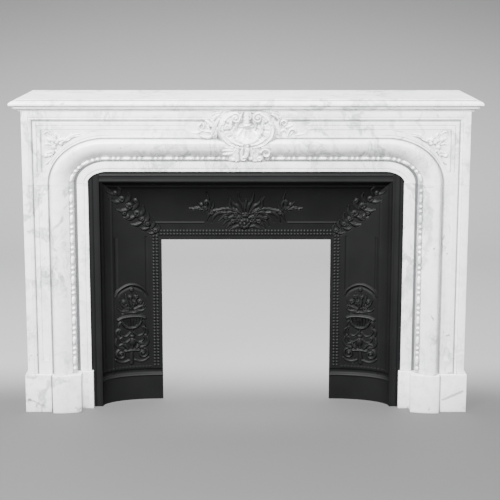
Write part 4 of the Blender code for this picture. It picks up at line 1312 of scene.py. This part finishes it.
def carve_cheek(relief):
    """Sunk panel lines, bead rows, and a footed basket of flowers on scrolling stems under an arch.

    Millimetres out from the fire opening and up from its head.
    """
    away, up = relief.across, relief.up
    above_base = (up > -484).astype(float)
    panel = ((up > -196) & (up < 12)).astype(float)
    cast_line(relief, away, 200, 6, 1.4, above_base)
    cast_line(relief, away, 55, 6, -2.4, panel)
    cast_line(relief, away, 159, 9, -3.0, panel)
    cast_line(relief, away, 171, 6, 1.3, above_base)
    cast_beads(relief, up, away, (16, 28), ((up > -462) & (up < 16)).astype(float))
    for place, width, height in ((-481, 15, -3.2), (-496, 6, 3.2)):
        cast_line(relief, up, place, width, height)
    cast_beads(relief, away, up, (-465,), (away > 36).astype(float) * 0.4)
    carve_mitre_spray(relief, lambda a, u: (a, u))
    middle = 108.0

    def stroke(points, width, crest=(5.5, 3.8), form="round", **more):
        moved = [(middle + across, height) for across, height in points]
        relief.stroke(moved, width, crest, form, thick=2.8, steep=2.0, cut=2.2, **more)

    stroke(((-57, -200), (-46, -180), (-24, -165), (0, -160), (22, -165), (45, -180), (56, -200)), 7,
           (5.5, 5.5), ends=(0.4, 0.4), count=44)
    relief.groove([(middle + a, u) for a, u in ((-50, -206), (-38, -185), (0, -170), (38, -186),
                                                (49, -206))], 7, 3.0, 40)
    for across, height, radius in ((-1, -179, 5.5), (-8, -228, 10), (-31, -225, 8), (-17, -206, 7),
                                   (14, -236, 8), (26, -222, 6.5), (4, -206, 6), (-40, -242, 6)):
        flower(relief, (middle + across, height), radius, 7.0)
    for points in (
        ((0, -246), (3, -216), (0, -188)),
        ((-4, -242), (-14, -214), (-18, -192)),
        ((8, -244), (18, -212), (20, -194)),
        ((10, -250), (30, -236), (42, -216)),
        ((-8, -250), (-34, -240), (-46, -222)),
        ((12, -256), (34, -256), (48, -244)),
        ((-12, -256), (-34, -258), (-50, -248)),
        ((2, -248), (16, -244), (26, -250)),
        ((0, -262), (20, -262), (34, -266)),
        ((-4, -262), (-22, -262), (-36, -266)),
    ):
        stroke(points, 9, (6.5, 4.0), "leaf", veins=3)
    stroke(((-46, -284), (-30, -279), (0, -277), (30, -280), (46, -286)), 8, (7.0, 7.0), ends=(1.0, 1.0))
    stroke(((-34, -284), (-30, -302), (-14, -316), (6, -320), (26, -308), (36, -286)), 9, (6.8, 6.8),
           ends=(0.7, 0.7), count=44)
    for weave in range(-2, 4):
        stroke(((weave * 11 - 4, -282), (weave * 8 - 2, -312)), 3.4, (4.0, 3.6), ends=(0.9, 0.9))
    stroke(((0, -322), (-1, -336), (0, -349)), 8, (5.0, 5.0), ends=(0.6, 0.9))
    relief.dome((middle - 1, -349), 8, 7, thick=3, steep=1.8, squash=1.4)
    relief.dome((middle - 2, -371), 10, 7.5, thick=3.4, steep=1.8, squash=0.7)
    stroke(((0, -384), (1, -396)), 8, (5.0, 5.0), ends=(0.8, 1.0))
    stroke(((-24, -403), (0, -401), (24, -403)), 8, (6.8, 6.8), ends=(0.9, 0.9))
    stroke(((2, -408), (3, -428), (3, -448)), 13, (5.4, 5.4), ends=(0.6, 1.0))
    for side in (-1, 1):
        scroll = [(side * a, b) for a, b in spiral((38, -414), 21, 5.5, 100, -450)]
        stroke(scroll, 7, (5.6, 6.6), ends=(0.8, 0.6), count=56)
        relief.dome((middle + side * 38, -414), 5, 7, thick=3, steep=1.8)
        for points, width in (
            (((6, -336), (20, -348), (36, -344), (44, -330), (38, -318)), 6),
            (((8, -362), (22, -372), (36, -368), (42, -356), (34, -350)), 6),
            (((34, -292), (44, -300), (46, -314), (36, -318)), 5),
            (((44, -318), (54, -328), (52, -344), (42, -346)), 5),
            (((30, -392), (46, -386), (56, -372), (54, -356)), 9),
            (((10, -438), (28, -444), (46, -440), (58, -430)), 9),
            (((16, -392), (30, -378), (44, -380)), 9),
            (((14, -396), (24, -384), (22, -372)), 6),
        ):
            form = "leaf" if width == 9 else "round"
            stroke([(side * a, b) for a, b in points], width, (5.4, 4.2), form, ends=(0.8, 0.5))


def carve_header(relief):
    """A panel line, bead rows, a garland in the middle and a spray along each mitre.

    Millimetres from the middle and up from the head of the fire opening.
    """
    away, up = relief.across, relief.up
    fire = FIRE_HALF / MM
    reach = np.abs(away)
    framed = ((reach > 146) & (reach < fire + 24)).astype(float)
    cast_line(relief, up, 62, 4.2, 1.8, framed)
    cast_line(relief, up, 196, 8, 1.3)
    cast_beads(relief, away, up, (19, 30), (reach < fire + 26).astype(float))

    def stroke(points, width, crest=(7.5, 4.6), form="leaf", **more):
        relief.stroke(points, width, crest, form, thick=3.0, steep=2.2, cut=2.4, **more)

    for side in (-1, 1):
        for points, width in (
            (((8, 94), (34, 104), (66, 94), (98, 66)), 17),
            (((10, 80), (36, 86), (62, 74), (84, 50)), 16),
            (((10, 64), (34, 68), (54, 58), (70, 40)), 15),
            (((10, 46), (28, 48), (44, 42), (56, 36)), 12),
            (((70, 98), (94, 98), (112, 84), (122, 62)), 13),
            (((98, 104), (118, 104), (130, 90), (138, 68)), 11),
            (((22, 100), (50, 112), (84, 112), (104, 104)), 11),
            (((6, 100), (10, 124), (22, 144), (28, 176)), 11),
            (((14, 102), (30, 122), (46, 134), (56, 154)), 11),
            (((-4, 104), (-2, 130), (4, 150)), 9),
            (((44, 106), (56, 124), (56, 142), (64, 158)), 9),
            (((132, 112), (140, 130), (132, 150), (140, 182)), 10),
            (((140, 112), (158, 124), (170, 140)), 9),
            (((150, 112), (172, 117), (194, 110)), 10),
            (((128, 104), (116, 120), (112, 136)), 8),
        ):
            stroke(turned(points, side), width, veins=3, lobes=2)
        for points in (
            ((20, 96), (60, 112), (104, 108), (140, 108), (198, 116)),
            ((130, 108), (126, 128), (134, 142), (144, 138), (144, 128)),
        ):
            stroke(turned(points, side), 8, (6, 5.4), "round", ends=(0.9, 0.6), count=60)
        for across, height, radius in ((26, 76, 9), (46, 66, 8), (36, 94, 8), (70, 80, 7), (120, 98, 7),
                                       (140, 116, 7), (156, 128, 5.5)):
            flower(relief, (side * across, height), radius, 8.0)
        carve_mitre_spray(relief, lambda a, u, side=side: (side * (fire + a), u))
    rose = (-5, 58)
    relief.dome(rose, 19, 6.5, thick=1.6, steep=2.0, cut=2.4)
    for petal in range(8):
        turn = 2 * math.pi * petal / 8
        relief.dome((rose[0] + 13 * math.cos(turn), rose[1] + 13 * math.sin(turn)), 7, 9.0, thick=3.0,
                    steep=2.2, cut=1.6)
    relief.dome(rose, 5.5, 10, thick=3, steep=2.2, cut=1.8)
    relief.dome((-3, 90), 13, 8.5, thick=3, steep=2.2, cut=2.0, squash=1.3)
    relief.groove(((-14, 90), (-3, 94), (8, 90)), 3, 2.5, 8)


# Pieces

def make_shelf():
    half = SHELF_HIGH.x
    thickness = SHELF_HIGH.z - SHELF_LOW.z
    edge = soften([(setback, height * thickness) for setback, height in SHELF_EDGE], 0.0009, 2, 20)
    rings = []
    for setback, height in edge:
        x = half - setback
        y = SHELF_LOW.y + setback
        z = SHELF_LOW.z + height
        rings.append([(-x, y, z), (x, y, z), (x, WALL_Y, z), (-x, WALL_Y, z)])
    finish_piece(loft("shelf", rings), marble("shelf", (3.1, 0.4, 7.7), 1.1, SHELF_MARKS),
                 "white_marble", "mantel_shelf", angle=30)


def make_frieze():
    pitch = bpy.context.scene.chimney_sizes.marble_pitch
    band, border = sections()
    rings = [surround_ring(step / CORNER_RINGS, band, border) for step in range(CORNER_RINGS + 1)]
    rings += mirrored(rings)
    obj = loft("frieze_carved", rings)
    ground_y = FACE_Y - FIELD_LEVEL
    cutters = []
    top = BODY_TOP - BAND_WIDTH - PANEL_TOP_LINE
    low = QUIRK_Z + PANEL_LOW_LINE
    for side in (-1, 1):
        outline = spandrel_outline(side)
        cutters.append(sunk_cutter("spandrel_cutter", outline, inset_outline(outline, SPANDREL_SLOPE),
                                   ground_y + SPANDREL_DEPTH))
        near, far = FRIEZE_PANEL_END, CORNER_END_X
        panel = [(side * x, z) for x, z in ((near, top), (near, low), (far, low), (far, top))]
        ground = [(side * x, z) for x, z in (
            (near + SUNK_SLOPE, top - SUNK_SLOPE), (near + SUNK_SLOPE, low + SUNK_SLOPE),
            (far - PANEL_FADE, low + SUNK_SLOPE), (far - PANEL_FADE, top - SUNK_SLOPE))]
        cutters.append(sunk_cutter("frieze_panel_cutter", panel, ground, ground_y + SUNK_DEPTH))
        cutters += incised_lines(side)
    combine(obj, cutters, "DIFFERENCE")
    added = [lofts("frieze_beads", list(bead_solids(1, True)) + list(bead_solids(-1, True)))]
    added.append(marble_patch("cartouche", *CARTOUCHE_CORNERS, pitch, CARTOUCHE_GROUND, carve_cartouche))
    for side in (-1, 1):
        for name, (low, high), coarser, carve in (("rinceau", RINCEAU_CORNERS, 1.1, carve_rinceau),
                                                  ("spray", SPRAY_CORNERS, 1.15, carve_spray)):
            left, right = sorted((side * low[0], side * high[0]))
            added.append(marble_patch(name, (left, low[1]), (right, high[1]), pitch * coarser,
                                      LEAF_GROUND, carve(side)))
    combine(obj, added, "UNION")
    finish_piece(obj, marble("frieze", (0.0, 0.0, 0.0), 0.7, JOINT_MARKS + FRIEZE_MARKS, True),
                 "white_marble", "frieze")


def make_jamb(name, side, shift, marks):
    band, border = sections()
    low, high = ([(x, y, z) for x, y, _ in surround_ring(0.0, band, border)]
                 for z in (PLINTH_HEIGHT + GAP, JOINT_Z - 2 * GAP))
    rings = [low, high] if side < 0 else mirrored([low, high])
    obj = loft(name + "_carved", rings)
    outer = BODY_HALF - BAND_WIDTH - JAMB_PANEL_EDGE
    inner = outer - JAMB_PANEL_WIDTH
    foot = PLINTH_HEIGHT + JAMB_PANEL_FOOT
    head = JOINT_Z - JAMB_PANEL_HEAD
    outline = [(side * x, z) for x, z in ((outer, foot), (inner, foot), (inner, head), (outer, head))]
    cutter = sunk_cutter("jamb_panel_cutter", outline, inset_outline(outline, SPANDREL_SLOPE),
                         FACE_Y - FIELD_LEVEL + JAMB_PANEL_DEPTH)
    combine(obj, [cutter], "DIFFERENCE")
    combine(obj, [lofts("jamb_beads", list(bead_solids(-side, False)))], "UNION")
    finish_piece(obj, marble(name, shift, 0.5 + 0.9 * side, marks, True), "white_marble", name)


def make_plinth(name, side, shift, marks):
    face = FACE_Y - PLINTH_PROJECTION
    bulge_outer = QUIRK_X
    bulge_inner = QUIRK_X - ROLL_WIDTH - BEAD_BED_WIDTH - SLIP_GROOVE_WIDTH - SLIP_PLINTH_PROJECTION
    slip_y = FACE_Y + SLIP_SETBACK - SLIP_PLINTH_PROJECTION
    slip_x = OPENING_HALF - SLIP_PLINTH_PROJECTION
    outline = [(PLINTH_HALF, WALL_Y), (PLINTH_HALF, face), (bulge_outer + PLINTH_QUIRK, face),
               (bulge_outer + PLINTH_QUIRK * 0.75, face + PLINTH_QUIRK),
               (bulge_outer + PLINTH_QUIRK * 0.1, face + PLINTH_QUIRK)]
    steps = 24
    for step in range(steps + 1):
        share = step / steps
        rise = math.sin(math.pi * (BULGE_START + BULGE_SWEEP * share ** BULGE_EASE))
        outline.append((bulge_outer - (bulge_outer - bulge_inner) * share,
                        face + PLINTH_INNER_SETBACK * share - PLINTH_BULGE * rise))
    outline += [(bulge_inner, slip_y), (slip_x, slip_y), (slip_x, SLIP_BACK_Y),
                (REBATE_HALF, SLIP_BACK_Y), (REBATE_HALF, BACK_Y), (RETURN_LOW.x, BACK_Y),
                (RETURN_LOW.x, WALL_Y)]
    rings = [[(side * x, y, z) for x, y in outline] for z in (0.0, PLINTH_HEIGHT)]
    obj = loft(name + "_block", rings)
    bevel_edges(obj)
    finish_piece(obj, marble(name, shift, 2.2 - 0.8 * side, marks), "white_marble", name, angle=30)


def bevel_edges(obj):
    """Rounds the sharp edges of a plain block as polishing leaves them."""
    modifier = obj.modifiers.new("arris", "BEVEL")
    modifier.width = bpy.context.scene.chimney_sizes.arris
    modifier.segments = 3
    modifier.limit_method = "ANGLE"
    modifier.angle_limit = math.radians(40)
    combine(obj, [], "UNION")


def make_return(name, side, shift):
    x_low, x_high = sorted((side * RETURN_LOW.x, side * RETURN_HIGH.x))
    rings = [[(x_low, RETURN_LOW.y, z), (x_high, RETURN_LOW.y, z), (x_high, WALL_Y, z), (x_low, WALL_Y, z)]
             for z in (RETURN_LOW.z, RETURN_HIGH.z)]
    obj = loft(name + "_slab", rings)
    bevel_edges(obj)
    finish_piece(obj, marble(name, shift, 1.4), "white_marble", name, angle=30)


def make_cheek(name, side):
    pitch = bpy.context.scene.chimney_sizes.iron_pitch
    frontal, deep = cove_places()
    rows = int(COVE_TOP / pitch)
    lengthwise = np.linspace(0, 1, rows)
    ends = (np.zeros(len(frontal)), FIRE_HEIGHT + COVE_RISE * frontal - MITRE_GAP)
    across = np.repeat(frontal[:, None] * COVE_RUN / MM, rows, axis=1)
    up = ends[1][:, None] * lengthwise[None, :] / MM - FIRE_HEIGHT / MM
    relief = Relief(across, up, 0.0)
    carve_cheek(relief)
    height = relief.height * ornament_fade(frontal, COVE_RUN)
    cove = cove_solid(name + "_cove", height, frontal, deep, lengthwise, ends, "Z", side)
    section = [(side * (COVE_HALF + distance), IRON_Y - level)
               for distance, level in flange_section(FLANGE_SHOWN_SIDE)]
    obj = loft(name + "_cast", [[(x, y, z) for x, y in section] for z in (0.0, CHEEK_HIGH.z)])
    combine(obj, [cove], "UNION")
    finish_piece(obj, iron(name), "black_iron", name)


def make_header():
    pitch = bpy.context.scene.chimney_sizes.iron_pitch
    frontal, deep = cove_places()
    columns = int(2 * COVE_HALF / pitch)
    lengthwise = np.linspace(0, 1, columns)
    reach = FIRE_HALF + COVE_RUN * frontal - MITRE_GAP
    across = (-reach[:, None] + 2 * reach[:, None] * lengthwise[None, :]) / MM
    up = np.repeat(frontal[:, None] * COVE_RISE / MM, columns, axis=1)
    relief = Relief(across, up, 0.0)
    carve_header(relief)
    height = relief.height * ornament_fade(frontal, COVE_RISE)
    cove = cove_solid("header_cove", height, frontal, deep, lengthwise, (-reach, reach), "X")
    section = [(IRON_Y - level, COVE_TOP + distance)
               for distance, level in flange_section(FLANGE_SHOWN_TOP)]
    half = HEADER_HIGH.x
    obj = loft("iron_header_cast", [[(x, y, z) for y, z in section] for x in (-half, half)])
    combine(obj, [cove], "UNION")
    finish_piece(obj, iron("header"), "black_iron", "iron_header")


# Stage

def aimed(name, place, target, size, power, shadow=True):
    data = bpy.data.lights.new(name, "AREA")
    data.shape = "RECTANGLE"
    data.size, data.size_y = size
    data.energy = power
    data.use_shadow = shadow
    obj = bpy.data.objects.new(name, data)
    obj.location = place
    obj.rotation_euler = (Vector(target) - Vector(place)).to_track_quat("-Z", "Y").to_euler()
    bpy.context.scene.collection.objects.link(obj)


def make_stage():
    stage = bpy.context.scene.chimney_stage
    depth, wide, tall, bend = 2.2, 9.0, 6.0, 1.6
    outline = [(-wide, 0.0)]
    steps = 16
    for step in range(steps + 1):
        turn = math.radians(90) * step / steps
        outline.append((depth + bend * math.sin(turn), bend * (1 - math.cos(turn))))
    outline.append((depth + bend, tall))
    vertices = [(x, y, z) for y, z in outline for x in (-wide, wide)]
    faces = [(2 * i, 2 * i + 1, 2 * i + 3, 2 * i + 2) for i in range(len(outline) - 1)]
    mesh = bpy.data.meshes.new("floor")
    mesh.from_pydata(vertices, [], faces)
    mesh.shade_smooth()
    floor = bpy.data.objects.new("floor", mesh)
    bpy.context.scene.collection.objects.link(floor)
    shade = Shade("floor")
    spot = shade.spot()
    deep = shade.part(spot, 1).between(*FLOOR_FADE)
    rise = shade.part(spot, 2).between(*BACKDROP_FADE)
    far = shade.mix(rise, tuple(stage.backdrop), tuple(stage.backdrop_top))
    shade.set("Base Color", shade.mix(deep, tuple(stage.floor), far))
    shade.set("Roughness", 0.8)
    mesh.materials.append(shade.material)

    world = bpy.data.worlds.new("studio")
    bpy.context.scene.world = world
    world.use_nodes = True
    sky = world.node_tree.nodes["Background"].inputs
    sky["Color"].default_value = (0.95, 0.97, 1.0, 1.0)
    sky["Strength"].default_value = stage.ambient
    target = (0.0, 0.0, 0.55)
    aimed("key", (-1.9, -3.4, 2.8), target, (1.4, 1.0), stage.key)
    aimed("high", (-0.9, -2.7, 4.0), target, (2.2, 1.2), stage.high, shadow=False)
    aimed("fill", (2.8, -3.0, 1.6), target, (2.0, 2.0), stage.fill)
    aimed("back", (0.0, 1.5, 3.2), (0.0, 2.8, 0.3), (4.0, 1.4), stage.back)

    data = bpy.data.cameras.new("camera")
    data.lens = stage.lens
    data.sensor_width = 36.0
    data.shift_x, data.shift_y = CAMERA_SHIFT
    camera = bpy.data.objects.new("camera", data)
    camera.location = (0.0, -stage.camera_distance, stage.camera_height)
    camera.rotation_euler = (math.radians(90) - stage.camera_pitch, 0.0, 0.0)
    bpy.context.scene.collection.objects.link(camera)
    bpy.context.scene.camera = camera


# Operators

class ChimneyShelf(Operator):
    """Make the moulded marble shelf"""

    bl_idname = "chimney.shelf"
    bl_label = "Shelf"

    def execute(self, context):
        make_shelf()
        return {"FINISHED"}


class ChimneyFrieze(Operator):
    """Make the carved frieze with its cartouche, sprays and beads"""

    bl_idname = "chimney.frieze"
    bl_label = "Frieze"

    def execute(self, context):
        make_frieze()
        return {"FINISHED"}


class ChimneyJambs(Operator):
    """Make the two moulded jambs"""

    bl_idname = "chimney.jambs"
    bl_label = "Jambs"

    def execute(self, context):
        make_jamb("jamb_left", -1, (1.7, 0.3, 2.9), JOINT_MARKS)
        make_jamb("jamb_right", 1, (4.3, 1.1, 0.6), JOINT_MARKS + JAMB_RIGHT_MARKS)
        return {"FINISHED"}


class ChimneyPlinths(Operator):
    """Make the two plinth blocks"""

    bl_idname = "chimney.plinths"
    bl_label = "Plinths"

    def execute(self, context):
        make_plinth("plinth_left", -1, (6.2, 0.0, 1.3), PLINTH_LEFT_MARKS)
        make_plinth("plinth_right", 1, (2.4, 2.0, 5.1), PLINTH_RIGHT_MARKS)
        return {"FINISHED"}


class ChimneyReturns(Operator):
    """Make the plain side slabs that run back to the wall"""

    bl_idname = "chimney.returns"
    bl_label = "Side slabs"

    def execute(self, context):
        make_return("return_left", -1, (5.0, 3.0, 1.0))
        make_return("return_right", 1, (8.0, 1.0, 3.0))
        return {"FINISHED"}


class ChimneyIron(Operator):
    """Make the three castings of the coved insert"""

    bl_idname = "chimney.iron"
    bl_label = "Iron insert"

    def execute(self, context):
        make_cheek("iron_cheek_left", -1)
        make_cheek("iron_cheek_right", 1)
        make_header()
        return {"FINISHED"}


class ChimneyStageMaker(Operator):
    """Make the floor, the lights and the camera"""

    bl_idname = "chimney.stage"
    bl_label = "Stage"

    def execute(self, context):
        make_stage()
        return {"FINISHED"}


class ChimneyPanel(Panel):
    """Lists the parts of the chimneypiece"""

    bl_idname = "VIEW3D_PT_chimney"
    bl_label = "Chimneypiece"
    bl_space_type = "VIEW_3D"
    bl_region_type = "UI"
    bl_category = "Chimneypiece"

    def draw(self, context):
        for group in (context.scene.chimney_sizes, context.scene.chimney_finish,
                      context.scene.chimney_stage):
            box = self.layout.box()
            for key in group.bl_rna.properties.keys():
                if key not in ("rna_type", "name"):
                    box.prop(group, key)
        for maker in MAKERS:
            self.layout.operator(maker.bl_idname)


MAKERS = (ChimneyStageMaker, ChimneyShelf, ChimneyFrieze, ChimneyJambs, ChimneyPlinths,
          ChimneyReturns, ChimneyIron)
GROUPS = (ChimneySizes, ChimneyFinish, ChimneyStage)


def register():
    for item in GROUPS + MAKERS + (ChimneyPanel,):
        bpy.utils.register_class(item)
    bpy.types.Scene.chimney_sizes = PointerProperty(type=ChimneySizes)
    bpy.types.Scene.chimney_finish = PointerProperty(type=ChimneyFinish)
    bpy.types.Scene.chimney_stage = PointerProperty(type=ChimneyStage)


def unregister():
    del bpy.types.Scene.chimney_sizes
    del bpy.types.Scene.chimney_finish
    del bpy.types.Scene.chimney_stage
    for item in reversed(GROUPS + MAKERS + (ChimneyPanel,)):
        bpy.utils.unregister_class(item)


def main():
    register()
    bpy.ops.chimney.stage()
    bpy.ops.chimney.shelf()
    bpy.ops.chimney.frieze()
    bpy.ops.chimney.jambs()
    bpy.ops.chimney.plinths()
    bpy.ops.chimney.returns()
    bpy.ops.chimney.iron()


if __name__ == "__main__":
    main()
